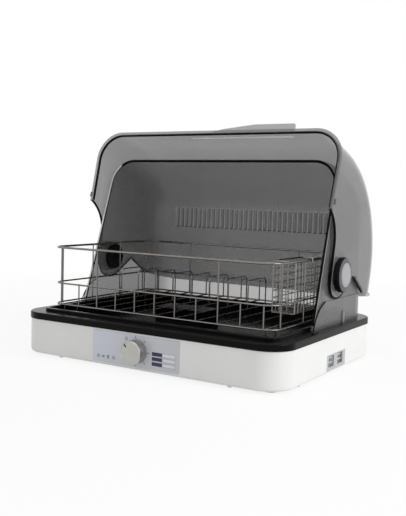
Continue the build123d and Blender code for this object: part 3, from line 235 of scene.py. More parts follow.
def rods(starts: np.ndarray, ends: np.ndarray, radius: float, sides: int = 8) -> Surface:
    """Many straight round rods at once, each a circle moved from its start to its end.

    Args:
        starts: First end of each rod.
        ends: Last end of each rod.
        radius: Half the rods' thickness.
        sides: Points round each rod.

    Returns:
        The closed surfaces of all the rods.
    """
    up, side = square_pair(unit(ends - starts))
    ring = radius * spun(round_angles(sides), side[:, None], up[:, None])
    return lattice(np.stack([starts[:, None] + ring, ends[:, None] + ring], 1), False, True, True)


def beads(centres: np.ndarray, radius: float, rows: int = 5, columns: int = 8) -> Surface:
    """Small round weld spots: spheres by height angle and turn angle, one at each centre.

    Args:
        centres: Middles of the spots.
        radius: Their radius.
        rows: Points from pole to pole.
        columns: Points round the equator.

    Returns:
        The surface of all the spots.
    """
    rise = np.linspace(-np.pi / 2, np.pi / 2, rows)[:, None]
    turn = round_angles(columns)
    ball = places(np.cos(rise) * np.cos(turn), np.cos(rise) * np.sin(turn), np.sin(rise))
    return lattice(centres[:, None, None] + radius * ball, False, True)


def turned(
    profile: Sequence[Pair],
    centre: Place,
    axis: Place,
    steps: int,
    ribs: int = 0,
    rib_depth: Sequence[float] | float = 0.0,
) -> Surface:
    """A turned form: a profile of (radius, height) spun about an axis, its radius waving where it has ribs.

    Radius at turn angle a is profile radius - depth * (1 + cos(ribs * a)) / 2.

    Args:
        profile: Radius and height along the axis, from the first pole to the last.
        centre: Where height is zero on the axis.
        axis: Direction of growing height.
        steps: Points round the axis.
        ribs: Number of grip ribs.
        rib_depth: Depth of the ribs, at each profile point or at all.

    Returns:
        The closed surface.
    """
    shape = np.asarray(profile, float)
    along = unit(np.asarray(axis, float))
    angle = round_angles(steps)[:, None]
    radius = shape[:, 0] - np.asarray(rib_depth) * 0.5 * (1 + np.cos(ribs * angle))
    rings = np.asarray(centre, float) + radius[..., None] * spun(angle, *square_pair(along))
    return lattice(rings + shape[:, 1, None] * along, True, False)


def rounded_outline(centre: Place, width: float, height: float, radius: float, steps: int = 6) -> np.ndarray:
    """Points round a rectangle with round corners, in a flat (x, z) plane.

    Args:
        centre: Middle of the rectangle.
        width: Size along x.
        height: Size along z.
        radius: Corner radius.
        steps: Points on each corner.

    Returns:
        The outline's points as (count, 2).
    """
    quarter = np.linspace(0, np.pi / 2, steps)
    angle = (quarter + np.arange(4)[:, None] * np.pi / 2).ravel()
    signs = np.repeat(np.array([[1, 1], [-1, 1], [-1, -1], [1, -1]]), steps, 0)
    arc = radius * np.stack([np.cos(angle), np.sin(angle)], -1)
    return np.asarray(centre, float) + signs * [width / 2 - radius, height / 2 - radius] + arc


def swivelled(outline: np.ndarray, degrees: float, centre: Place) -> np.ndarray:
    """An (x, z) outline turned clockwise, as seen from the front, and moved to a centre.

    Args:
        outline: The outline about zero.
        degrees: The turn.
        centre: Where zero goes.

    Returns:
        The outline's new points.
    """
    angle = np.radians(degrees)
    turn = np.array([[np.cos(angle), np.sin(angle)], [-np.sin(angle), np.cos(angle)]])
    return np.asarray(centre) + outline @ turn.T


def printed_patch(outline: np.ndarray, back_y: float, thickness: float) -> Surface:
    """A thin film patch: an outline in (x, z) carried from the plane that it lies on towards -y."""
    levels = np.array([[back_y], [back_y - thickness]])
    return lattice(places(outline[:, 0], levels, outline[:, 1]), False, True, True)


def printed_line(outer: np.ndarray, inner: np.ndarray, back_y: float, thickness: float) -> Surface:
    """A thin printed line between two outlines of equal count, closed on all sides.

    Args:
        outer: Outer outline in (x, z).
        inner: Inner outline in (x, z).
        back_y: The plane that the film lies on.
        thickness: The film's thickness, towards -y.

    Returns:
        The closed surface of the line.
    """
    front_y = back_y - thickness
    loops = ((outer, back_y), (outer, front_y), (inner, front_y), (inner, back_y))
    return lattice(np.stack([places(loop[:, 0], y, loop[:, 1]) for loop, y in loops]), True, True)


class Signal:
    """A number that varies over a surface; arithmetic on it adds Math nodes."""

    def __init__(self, graph: "NodeGraph", socket: bpy.types.NodeSocket) -> None:
        """Wraps one output socket of a graph."""
        self.graph = graph
        self.socket = socket

    def _math(self, operation: str, first: Any, second: Any) -> "Signal":
        """One Math node on two values."""
        node = self.graph.node("ShaderNodeMath", {0: first, 1: second}, operation=operation)
        return Signal(self.graph, node.outputs[0])

    def __add__(self, other: Any) -> "Signal":
        """The sum."""
        return self._math("ADD", self, other)

    def __radd__(self, other: Any) -> "Signal":
        """The sum, with a number first."""
        return self._math("ADD", other, self)

    def __sub__(self, other: Any) -> "Signal":
        """The difference."""
        return self._math("SUBTRACT", self, other)

    def __rsub__(self, other: Any) -> "Signal":
        """The difference, with a number first."""
        return self._math("SUBTRACT", other, self)

    def __mul__(self, other: Any) -> "Signal":
        """The product."""
        return self._math("MULTIPLY", self, other)

    def __rmul__(self, other: Any) -> "Signal":
        """The product, with a number first."""
        return self._math("MULTIPLY", other, self)

    def __truediv__(self, other: Any) -> "Signal":
        """The quotient."""
        return self._math("DIVIDE", self, other)

    def __pow__(self, other: Any) -> "Signal":
        """The power."""
        return self._math("POWER", self, other)

    def size(self) -> "Signal":
        """The value without its sign."""
        return (self * self) ** 0.5

    def clipped(self) -> "Signal":
        """The value held between 0 and 1."""
        return self._math("MINIMUM", self._math("MAXIMUM", self, 0.0), 1.0)


class NodeGraph:
    """A material's or world's node tree and the few ways that nodes come into it."""

    def __init__(self, tree: bpy.types.NodeTree) -> None:
        """Starts from an empty tree."""
        self.tree = tree
        tree.nodes.clear()

    def node(self, kind: str, inputs: dict[Any, Any] | None = None, **settings: Any) -> Any:
        """Adds one node.

        Args:
            kind: The node's type.
            inputs: Values or links by socket name or number.
            settings: The node's properties, set first.

        Returns:
            The new node.
        """
        node = self.tree.nodes.new(kind)
        for key, value in settings.items():
            setattr(node, key, value)
        for key, value in (inputs or {}).items():
            self.feed(node.inputs[key], value)
        return node

    def feed(self, socket: bpy.types.NodeSocket, value: Any) -> None:
        """Links a signal or socket to a socket, or sets a plain value on it.

        Args:
            socket: The socket that takes the value.
            value: A Signal, a socket, a number, a colour or a vector.
        """
        if isinstance(value, Signal):
            self.tree.links.new(value.socket, socket)
        elif isinstance(value, bpy.types.NodeSocket):
            self.tree.links.new(value, socket)
        elif isinstance(value, tuple) and socket.type == "RGBA":
            socket.default_value = (*value[:3], 1.0)
        else:
            socket.default_value = value

    def place(self, centre: Place = (0, 0, 0), stretch: Place = (1, 1, 1)) -> Any:
        """Object coordinates measured from a centre and stretched along each axis.

        Args:
            centre: The point that becomes zero.
            stretch: Factor along each axis.

        Returns:
            The vector socket.
        """
        coordinates = self.node("ShaderNodeTexCoord").outputs["Object"]
        shift = tuple(-c * s for c, s in zip(centre, stretch))
        inputs = {"Vector": coordinates, "Location": shift, "Scale": tuple(stretch)}
        return self.node("ShaderNodeMapping", inputs).outputs[0]

    def axes(self, vector: Any) -> tuple[Signal, Signal, Signal]:
        """The three parts of a vector."""
        split = self.node("ShaderNodeSeparateXYZ", {0: vector})
        return tuple(Signal(self, output) for output in split.outputs)

    def noise(self, vector: Any, scale: float, detail: float = 2.0, rough: float = 0.5) -> Signal:
        """Soft noise between about 0 and 1, by waves per metre, octaves and share of the finer octaves."""
        inputs = {"Vector": vector, "Scale": scale, "Detail": detail, "Roughness": rough}
        return Signal(self, self.node("ShaderNodeTexNoise", inputs).outputs[0])

    def blend(self, share: Any, first: Any, second: Any) -> Any:
        """A colour between two colours: the first at share 0, the second at 1."""
        return self.node("ShaderNodeMix", {0: share, 6: first, 7: second}, data_type="RGBA").outputs[2]

    def bump(self, height: Signal, strength: float, distance: float) -> Any:
        """A normal from a height between 0 and 1, by share of the full effect and metres at height 1."""
        inputs = {"Strength": strength, "Distance": distance, "Height": height}
        return self.node("ShaderNodeBump", inputs).outputs[0]

    def surface(self, **sockets: Any) -> None:
        """Ends the tree in a Principled shader.

        Args:
            sockets: Values or links by socket name, with _ for its spaces.
        """
        inputs = {key.replace("_", " "): value for key, value in sockets.items()}
        shader = self.node("ShaderNodeBsdfPrincipled", inputs)
        self.node("ShaderNodeOutputMaterial", {"Surface": shader.outputs[0]})

    def mixture(self, share: Signal, first: Any, second: Any, output: str) -> None:
        """Ends the tree in a mix of two shader nodes: the first at share 0, the second at 1."""
        mix = self.node("ShaderNodeMixShader", {0: share, 1: first.outputs[0], 2: second.outputs[0]})
        self.node(output, {"Surface": mix.outputs[0]})


@dataclass(frozen=True)
class Finish:
    """A finish that can be laid on a piece; its colour is linear and its roughness a middle value."""

    name: str
    colour: Colour
    roughness: float

    def shade(self, factor: float) -> Colour:
        """The main colour times a factor."""
        return tuple(min(1.0, part * factor) for part in self.colour)

    def mottled(self, graph: NodeGraph, share: Any, low: float, high: float) -> Any:
        """The main colour between a low and a high shade of it, by a share."""
        return graph.blend(share, self.shade(low), self.shade(high))

    def uneven(self, share: Signal, low: float, spread: float) -> Signal:
        """The roughness times a low factor, which grows by a spread with a share."""
        return self.roughness * (low + share * spread)

    def build(self, graph: NodeGraph) -> None:
        """Draws the finish into a graph; each kind of finish has its own."""
        raise NotImplementedError


@dataclass(frozen=True)
class MouldedPlastic(Finish):
    """Moulded plastic with a fine texture, slow colour drift and uneven gloss.

    Attributes:
        grain: Texture waves per metre.
        depth: Height of the texture in metres.
        gloss: Level of its plain reflection, 0.5 for common plastic.
        face_x: Distance to either side from which its outer faces are paler; zero for none.
        face_shade: How many times as bright they are.
        face_edge: Width of the change between the two.
    """

    grain: float = 900.0
    depth: float = 0.00004
    gloss: float = 0.5
    face_x: float = 0.0
    face_shade: float = 1.0
    face_edge: float = 0.0004

    def build(self, graph: NodeGraph) -> None:
        """Colour drifts by a few hundredths, roughness by a tenth, and fine noise gives the texture.

        Args:
            graph: The material's node tree.
        """
        place = graph.place()
        colour = self.mottled(graph, graph.noise(place, 14.0, 3.0), 0.95, 1.04)
        if self.face_x:
            x, _, _ = graph.axes(place)
            outer = ((x.size() - self.face_x) / self.face_edge).clipped()
            colour = graph.blend(outer, colour, self.shade(self.face_shade))
        smear = graph.noise(graph.place(stretch=(1.0, 1.0, 0.3)), 45.0, 3.0)
        graph.surface(
            Base_Color=colour,
            Roughness=self.uneven(smear, 0.88, 0.24),
            Normal=graph.bump(graph.noise(place, self.grain), 0.35, self.depth),
            Specular_IOR_Level=self.gloss,
        )


@dataclass(frozen=True)
class SmokyPlastic(Finish):
    """See-through grey plastic with a polished face and faint handling marks.

    Attributes:
        cover: Share of light that one face holds back.
        painted_light_thinning: How much less the left-hand end of a back wall holds back than a side wall;
            painted light, since the wall is no thinner there.
        slope: How much more of that is lost per metre to the right, painting the back wall lighter towards
            its right-hand end.
        lean: How much more any wall holds back per metre to the right, a painted darkening towards the right.
        side: Where the side walls begin.
        side_edge: Width of the change between back wall and side wall.
        foot: Height from which the tint rises from nothing, where it is bonded to a wall; zero for none.
        foot_rise: Height over which it rises.
        gloss: Level of its plain reflection.
        fine: Height of the ripple in metres.
    """

    cover: float = 0.5
    painted_light_thinning: float = 0.0
    slope: float = 0.0
    lean: float = 0.0
    side: float = 0.2
    side_edge: float = 0.03
    foot: float = 0.0
    foot_rise: float = 0.006
    gloss: float = 0.5
    fine: float = 0.00006

    def build(self, graph: NodeGraph) -> None:
        """Slow noise ripples the face, stretched noise marks it, and the tint thins between the sides as
        painted light on the back wall.

        Args:
            graph: The material's node tree.
        """
        place = graph.place()
        ripple = graph.noise(place, 22.0, 1.5)
        x, _, z = graph.axes(place)
        tint: Signal | float = self.cover
        if self.painted_light_thinning:
            between = 1.0 - ((x.size() - self.side) / self.side_edge).clipped()
            tint = self.cover + x * self.lean - between * (self.painted_light_thinning + (x + self.side) * self.slope)
        if self.foot:
            tint = ((z - self.foot) / self.foot_rise).clipped() * self.cover
        marks = graph.noise(graph.place(stretch=(1.0, 1.0, 0.15)), 160.0, 4.0)
        graph.surface(
            Base_Color=self.mottled(graph, ripple, 0.85, 1.15),
            Roughness=self.uneven(marks, 0.85, 0.3),
            Normal=graph.bump(ripple, 0.25, self.fine),
            Specular_IOR_Level=self.gloss,
            Alpha=tint,
            IOR=1.49,
        )


class Brush(Enum):
    """Which way the brushing lines run on turned metal."""

    RINGS = "rings"
    ALONG = "along"


@dataclass(frozen=True)
class BrushedMetal(Finish):
    """Metal with fine brushing lines about an axis along y.

    Attributes:
        lines: Lines per metre.
        brush: Which way the lines run.
        centre: A point on the axis.
    """

    lines: float = 2600.0
    brush: Brush = Brush.RINGS
    centre: Triple = (0.0, -0.2, 0.036)

    def build(self, graph: NodeGraph) -> None:
        """Rings follow the distance from the axis; lines along it follow the axis.

        Args:
            graph: The material's node tree.
        """
        x, y, z = graph.axes(graph.place(self.centre))
        across = (x * x + z * z) ** 0.5 if self.brush is Brush.RINGS else y
        steps = graph.node("ShaderNodeCombineXYZ", {0: across, 1: 0.0, 2: 0.0}).outputs[0]
        line = graph.noise(steps, self.lines, 3.0, 0.7)
        tint = graph.noise(graph.place(), 60.0)
        graph.surface(
            Base_Color=self.mottled(graph, line * 0.6 + tint * 0.4, 0.8, 1.12),
            Metallic=1.0,
            Roughness=self.uneven(line, 0.75, 0.5),
            Normal=graph.bump(line, 0.55, 0.00006),
        )


@dataclass(frozen=True)
class DrawnWire(Finish):
    """Bright drawn steel wire with faint streaks and dull spots.

    Attributes:
        streaks: Streak waves per metre.
    """

    streaks: float = 700.0

    def build(self, graph: NodeGraph) -> None:
        """Fine noise streaks the colour, and slow noise dulls the gloss in spots.

        Args:
            graph: The material's node tree.
        """
        place = graph.place()
        streak = graph.noise(place, self.streaks, 3.0, 0.6)
        graph.surface(
            Base_Color=self.mottled(graph, streak, 0.78, 1.15),
            Metallic=1.0,
            Roughness=self.uneven(graph.noise(place, 70.0, 3.0), 0.7, 0.6),
            Normal=graph.bump(streak, 0.2, 0.00003),
        )


@dataclass(frozen=True)
class PanelFilm(Finish):
    """Printed film that fades from one tone to another along x, with a fine pearl grain.

    Attributes:
        far_colour: The tone at the right-hand end.
        span: The x of both ends.
        pearl_colour: The tone of the grain.
    """

    far_colour: Colour = (1.0, 1.0, 1.0)
    span: Pair = (0.0, 1.0)
    pearl_colour: Colour = (0.9, 0.92, 0.96)

    def build(self, graph: NodeGraph) -> None:
        """The share of the far tone grows evenly from the left-hand end to the right-hand one.

        Args:
            graph: The material's node tree.
        """
        place = graph.place()
        x, _, _ = graph.axes(place)
        share = ((x - self.span[0]) / (self.span[1] - self.span[0])).clipped()
        pearl = graph.noise(place, 1500.0)
        fade = graph.blend(share, self.colour, self.far_colour)
        graph.surface(
            Base_Color=graph.blend(pearl * 0.12, fade, self.pearl_colour),
            Metallic=0.15,
            Roughness=self.uneven(pearl, 0.8, 0.4),
            Normal=graph.bump(pearl, 0.12, 0.00002),
        )


@dataclass(frozen=True)
class Ink(Finish):
    """Screen-printed ink with a slightly uneven lay."""

    def build(self, graph: NodeGraph) -> None:
        """Fine noise thins the ink by a tenth and roughens it."""
        lay = graph.noise(graph.place(), 1800.0)
        graph.surface(Base_Color=self.mottled(graph, lay, 0.9, 1.12), Roughness=self.uneven(lay, 0.85, 0.3))


@dataclass(frozen=True)
class CastMetal(Finish):
    """Plain metal of hidden parts, with cast or pressed mottling.

    Attributes:
        metal: Share of metal in the shading.
    """

    metal: float = 1.0

    def build(self, graph: NodeGraph) -> None:
        """Two scales of noise mottle the colour and the gloss.

        Args:
            graph: The material's node tree.
        """
        place = graph.place()
        fine = graph.noise(place, 1100.0)
        graph.surface(
            Base_Color=self.mottled(graph, graph.noise(place, 60.0, 3.0), 0.82, 1.12),
            Metallic=self.metal,
            Roughness=self.uneven(fine, 0.8, 0.4),
            Normal=graph.bump(fine, 0.25, 0.00005),
        )


WHITE = MouldedPlastic("white_moulded", (0.80, 0.80, 0.79), 0.34, 700.0, 0.00003)
BLACK = MouldedPlastic("black_gloss", (0.0016, 0.0016, 0.0018), 0.20, 800.0, 0.00002, 0.09)
KNOB_BLACK = MouldedPlastic("black_grip", (0.005, 0.005, 0.0055), 0.34, 1100.0, 0.00005, 0.12)
KNOB_GRIP = MouldedPlastic("knob_grip", (0.004, 0.004, 0.0042), 0.34, 1100.0, 0.00005, 0.08, 0.2598, 28.0)
TRIM = MouldedPlastic("light_trim", (0.31, 0.31, 0.325), 0.32, 900.0, 0.00003)
GREY = MouldedPlastic("grey_insert", (0.46, 0.47, 0.48), 0.42, 900.0, 0.00005)
INNER_WHITE = MouldedPlastic("inner_white", (0.62, 0.62, 0.60), 0.5, 700.0, 0.00005)
# SMOKY's see-through share changes along x: painted light and shade across the rear cover, the back wall
# clearer towards its right-hand end.
SMOKY = SmokyPlastic("smoky_clear", (0.130, 0.130, 0.133), 0.24, 0.64, 0.20, 0.46, 0.25)
SMOKY_LID = SmokyPlastic("smoky_lid", (0.220, 0.220, 0.225), 0.16, 0.555)
# Paler than the cover's plastic: painted light on the vanes, which lie in shade, and a painted glint on the
# clips.
SMOKY_VANE = SmokyPlastic("smoky_vane", (0.40, 0.40, 0.405), 0.30, 0.50)
SMOKY_HANDLE = SmokyPlastic("smoky_handle", (0.27, 0.27, 0.275), 0.16, 0.49, foot=0.404)
# Near-black lines: painted shade where the smoky walls are seen edge-on, and along the steps and slot feet.
PAINTED_EDGE_SHADE = SmokyPlastic("painted_edge_shade", (0.003, 0.003, 0.0035), 0.30, 0.99, gloss=0.04)
# Pale lines: painted highlights along the cover's left lip and the vanes' edges.
PAINTED_EDGE_HIGHLIGHT = SmokyPlastic("painted_edge_highlight", (0.88, 0.88, 0.89), 0.14, 0.92)
# Grey lines: painted glints along the cover's right lip and beside the lid's side edges.
PAINTED_EDGE_GLINT = SmokyPlastic("painted_edge_glint", (0.30, 0.30, 0.31), 0.30, 0.92)
PANEL = PanelFilm("panel_film", (0.58, 0.61, 0.68), 0.34, (0.50, 0.51, 0.54), (-0.091, 0.083))
KNOB_METAL = BrushedMetal("brushed_knob", (0.46, 0.445, 0.425), 0.30, 2600.0, Brush.RINGS)
KNOB_SIDE = BrushedMetal("brushed_knob_side", (0.46, 0.445, 0.425), 0.30, 1800.0, Brush.ALONG)
RACK_STEEL = DrawnWire("rack_wire", (0.20, 0.19, 0.18), 0.26, 700.0)
BASKET_STEEL = DrawnWire("basket_wire", (0.25, 0.245, 0.235), 0.28, 900.0)
FIXINGS = CastMetal("zinc_fixings", (0.52, 0.53, 0.55), 0.36)
HEATER_METAL = CastMetal("heater_fins", (0.63, 0.62, 0.60), 0.42)
MOTOR_PAINT = CastMetal("motor_paint", (0.10, 0.11, 0.13), 0.46, 0.4)
SAFETY = CastMetal("safety_parts", (0.42, 0.38, 0.30), 0.40, 0.7)
RUBBER = MouldedPlastic("soft_rubber", (0.012, 0.012, 0.012), 0.60, 1300.0, 0.00008, 0.25)
GREY_RUBBER = MouldedPlastic("grey_rubber", (0.085, 0.085, 0.088), 0.55, 1300.0, 0.00008, 0.3)
FOOT_RUBBER = MouldedPlastic("pale_rubber", (0.30, 0.30, 0.30), 0.66, 1300.0, 0.00008)
FILTER = MouldedPlastic("filter_net", (0.58, 0.58, 0.59), 0.6, 1500.0, 0.00006)
LOOM = MouldedPlastic("wire_covering", (0.34, 0.33, 0.30), 0.45, 1200.0, 0.00004)
NAVY = Ink("navy_ink", (0.016, 0.020, 0.065), 0.42)
CHARCOAL = Ink("charcoal_ink", (0.075, 0.078, 0.090), 0.45)
PALE_INK = Ink("pale_ink", (0.235, 0.250, 0.290), 0.45)
WHITE_INK = Ink("white_ink", (0.72, 0.73, 0.76), 0.40)


@lru_cache(maxsize=None)
def material_of(finish: Finish) -> bpy.types.Material:
    """The material of a finish, drawn once.

    Args:
        finish: The finish to draw.

    Returns:
        The material.
    """
    material = bpy.data.materials.new(finish.name)
    material.use_nodes = True
    finish.build(NodeGraph(material.node_tree))
    return material


@dataclass
class Workshop:
    """Puts pieces into the scene, dressed and riding on their bodies.

    Attributes:
        nodes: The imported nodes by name.
        piece_gap: Points of a worked-out surface that are closer than this are one.
        skin_gap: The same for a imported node.
        skin_crease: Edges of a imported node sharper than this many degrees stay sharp.
    """

    nodes: dict[str, bpy.types.Object]
    piece_gap: float = 1e-7
    skin_gap: float = 2e-6
    skin_crease: float = 28.0

    def dress(self, node: str, finish: Finish) -> None:
        """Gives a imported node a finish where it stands.

        Args:
            node: The node's name.
            finish: Its finish.
        """
        data = self.nodes[node].data
        data.materials.clear()
        data.materials.append(material_of(finish))
        LOG.info("node %s: %s", node, finish.name)

    def piece(
        self,
        name: str,
        form: Surface | bpy.types.Mesh,
        finish: Finish,
        body: str,
        slot: str,
        stands_for: Sequence[str] = (),
        crease: float = 38.0,
    ) -> bpy.types.Object:
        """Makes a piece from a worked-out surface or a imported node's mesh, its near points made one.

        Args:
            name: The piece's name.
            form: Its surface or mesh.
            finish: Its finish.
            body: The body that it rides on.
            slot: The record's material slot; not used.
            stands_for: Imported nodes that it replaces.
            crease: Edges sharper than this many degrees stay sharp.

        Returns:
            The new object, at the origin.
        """
        is_new = isinstance(form, Surface)
        mesh = form.mesh(name) if is_new else form
        shell = bmesh.new()
        shell.from_mesh(mesh)
        bmesh.ops.remove_doubles(shell, verts=shell.verts, dist=self.piece_gap if is_new else self.skin_gap)
        if is_new:
            bmesh.ops.recalc_face_normals(shell, faces=shell.faces)
        shell.to_mesh(mesh)
        shell.free()
        mesh.shade_smooth()
        mesh.set_sharp_from_angle(angle=np.radians(crease))
        mesh.materials.clear()
        mesh.materials.append(material_of(finish))
        piece = bpy.data.objects.new(name, mesh)
        bpy.context.scene.collection.objects.link(piece)
        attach(piece, body)
        if stands_for:
            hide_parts(*stands_for)
        LOG.info("piece %s on %s: %d faces", name, body, len(mesh.polygons))
        return piece

    def smoothed(self, node: str, finish: Finish, body: str, slot: str) -> None:
        """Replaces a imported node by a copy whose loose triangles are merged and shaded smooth.

        Args:
            node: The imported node.
            finish: The copy's finish.
            body: The body that it rides on.
            slot: The record's material slot.
        """
        mesh = self.nodes[node].data.copy()
        if "custom_normal" in mesh.attributes:
            mesh.attributes.remove(mesh.attributes["custom_normal"])
        piece = self.piece(f"{node}_skin", mesh, finish, body, slot, (node,), self.skin_crease)
        evened = piece.modifiers.new("even_shading", "WEIGHTED_NORMAL")
        evened.keep_sharp = True


@dataclass
class BaseUnit:
    """White housing, drip tray, feet, vent insert and what closes the housing below."""

    shop: Workshop
    skins: dict[str, tuple[Finish, str]] = field(
        default_factory=lambda: {
            "base_housing": (WHITE, "white_plastic"),
            "drip_tray": (BLACK, "black_plastic"),
            "air_outlet_hood": (BLACK, "black_plastic"),
            "feet": (FOOT_RUBBER, "rubber_pads"),
            "side_vent_insert": (GREY, "grey_plastic"),
            "bottom_screws": (FIXINGS, "steel_fixings"),
            "cord_gland": (KNOB_BLACK, "black_plastic"),
        }
    )

    def build(self) -> None:
        """Lays smooth skins over the outer nodes and dresses the rest."""
        for node, (finish, slot) in self.skins.items():
            self.shop.smoothed(node, finish, "base", slot)
        self.shop.dress("bottom_plate", INNER_WHITE)
        self.shop.dress("inlet_filter", FILTER)


@dataclass
class ControlPanel:
    """Pale film on the front with ticks round the timer, small signs and rows of cells."""

    shop: Workshop
    face_y: float = -0.1987
    ink: float = 0.00012
    timer: Pair = (0.0, 0.036)
    tick_radius: float = 0.0232
    tick_size: Pair = (0.0011, 0.0042)
    tick_angles: Numbers = (-6.0, 42.0, 90.0, 138.0, 186.0)
    off_angle: float = -48.0
    off_radius: float = 0.0283
    off_outer: Triple = (0.0042, 0.0054, 0.0020)
    off_inner: Triple = (0.0026, 0.0038, 0.0012)
    cell_left: float = 0.0308
    cell_split: float = 0.0507
    cell_right: float = 0.0754
    cell_middles: Numbers = (0.0361, 0.0281, 0.0199)
    cell_height: float = 0.0061
    cell_corner: float = 0.0005
    field_corner: float = 0.0002
    line: float = 0.0005
    sign_xs: Numbers = (-0.0787, -0.0685, -0.0583, -0.0466)
    sign_z: float = 0.0192
    sign_size: float = 0.0062
    ring_shares: Numbers = (1.0, 0.72, 0.46, 0.2)
    oval_share: float = 0.62
    taper_shares: Pair = (0.42, 0.28)
    bar_shares: Triple = (0.36, 0.17, 0.08)

    def build(self) -> None:
        """Dresses the film and prints the marks on it."""
        self.shop.dress("control_panel", PANEL)
        filled = self.cells(self.cell_left, self.cell_split, 0.0, self.cell_corner)
        outer = self.cells(self.cell_split, self.cell_right, 0.0, self.cell_corner)
        inner = self.cells(self.cell_split, self.cell_right, self.line, self.field_corner)
        fields = [printed_patch(cell, self.face_y, self.ink / 2) for cell in inner]
        marks = (
            ("panel_ticks", self.ticks(), CHARCOAL),
            ("panel_cells", map(self.patch, filled), NAVY),
            ("panel_cell_fields", fields, WHITE_INK),
            ("panel_cell_lines", map(self.outlined, outer, inner), PALE_INK),
            ("panel_signs", self.signs(), PALE_INK),
        )
        for name, parts, finish in marks:
            self.shop.piece(name, Surface.joined(parts), finish, "base", "panel_film")

    def patch(self, outline: np.ndarray) -> Surface:
        """A filled mark on the film."""
        return printed_patch(outline, self.face_y, self.ink)

    def outlined(self, outer: np.ndarray, inner: np.ndarray) -> Surface:
        """A mark on the film between two outlines."""
        return printed_line(outer, inner, self.face_y, self.ink)

    def cells(self, left: float, right: float, inset: float, corner: float) -> list[np.ndarray]:
        """Outlines of one column's cells between its left and right edges, drawn in by an inset."""
        width, height = right - left - 2 * inset, self.cell_height - 2 * inset
        return [rounded_outline(((left + right) / 2, z), width, height, corner) for z in self.cell_middles]

    def ticks(self) -> list[Surface]:
        """Radial bars at even angles round the timer, and an outlined nought at the off place.

        Returns:
            The marks.
        """
        bar = rounded_outline((0, self.tick_radius), *self.tick_size, self.tick_size[0] / 3)
        marks = [self.patch(swivelled(bar, angle, self.timer)) for angle in self.tick_angles]
        middle = swivelled(np.array([0.0, self.off_radius]), self.off_angle, self.timer)
        nought = (rounded_outline(middle, *size) for size in (self.off_outer, self.off_inner))
        return [*marks, self.outlined(*nought)]

    def signs(self) -> list[Surface]:
        """Four plain signs: two rings, a half oval, a tapered form and three bars.

        Returns:
            The marks.
        """
        size, z = self.sign_size, self.sign_z
        ring_x, oval_x, taper_x, bars_x = self.sign_xs
        sizes = size * np.array(self.ring_shares)
        rings = [rounded_outline((ring_x, z), wide, wide, wide / 2, 8) for wide in sizes]
        angle = np.linspace(np.pi, 2 * np.pi, 20)
        depth = size * self.oval_share
        oval = np.stack([oval_x + size / 2 * np.cos(angle), z + size / 4 + depth * np.sin(angle)], -1)
        wide, narrow = self.taper_shares
        corners = [[-wide, 0.5], [-narrow, -0.5], [narrow, -0.5], [wide, 0.5]]
        taper = np.array(corners) * size + [taper_x, z]
        pitch, width, corner = size * np.array(self.bar_shares)
        bars = [rounded_outline((x, z), width, size, corner) for x in bars_x + row(3, pitch)]
        return [self.outlined(*rings[:2]), self.outlined(*rings[2:]), *map(self.patch, (oval, taper, *bars))]


@dataclass
class TimerKnob:
    """Brushed round knob with a bevelled front, a dished face and a dark pointer.

    Attributes:
        skirt: Radius and height up the bore, the foot, the side, the bevel, the rim and the face's seat.
        face: Radius and height round a thin disc let into the rim.
        pointer: Width, length and corner radius of the pointer.
        pointer_radius: Distance of its middle from the axis.
        pointer_foot: Height of its back.
    """

    shop: Workshop
    centre: Triple = (0.0, -0.1992, 0.036)
    steps: int = 128
    skirt: Profile = (
        (0.0, 0.0127),
        (0.0102, 0.0127),
        (0.0102, 0.0),
        (0.0194, 0.0),
        (0.020, 0.0006),
        (0.020, 0.004),
        (0.020, 0.009),
        (0.020, 0.0163),
        (0.0198, 0.0169),
        (0.0189, 0.018),
        (0.0178, 0.018),
        (0.0175, 0.0175),
        (0.012, 0.0171),
        (0.0, 0.0171),
    )
    face: Profile = (
        (0.0, 0.0172),
        (0.0176, 0.0172),
        (0.0176, 0.0176),
        (0.0172, 0.0178),
        (0.006, 0.0178),
        (0.0, 0.0178),
    )
    pointer: Triple = (0.0022, 0.0062, 0.0007)
    pointer_angle: float = -42.0
    pointer_radius: float = 0.0147
    pointer_foot: float = 0.0177
    pointer_depth: float = 0.0003

    def build(self) -> None:
        """Makes the knob's side, its face and its pointer, and dresses the shaft."""
        side, face = (turned(shape, self.centre, FORWARD, self.steps) for shape in (self.skirt, self.face))
        x, y, z = self.centre
        bar = swivelled(rounded_outline((0, self.pointer_radius), *self.pointer), self.pointer_angle, (x, z))
        pointer = printed_patch(bar, y - self.pointer_foot, self.pointer_depth)
        self.shop.piece("timer_knob_side", side, KNOB_SIDE, "timer", "knob_metal", ("timer_knob",), 20.0)
        self.shop.piece("timer_knob_face", face, KNOB_METAL, "timer", "knob_metal", (), 20.0)
        self.shop.piece("timer_knob_pointer", pointer, KNOB_BLACK, "timer", "knob_metal")
        self.shop.dress("timer_shaft", FIXINGS)


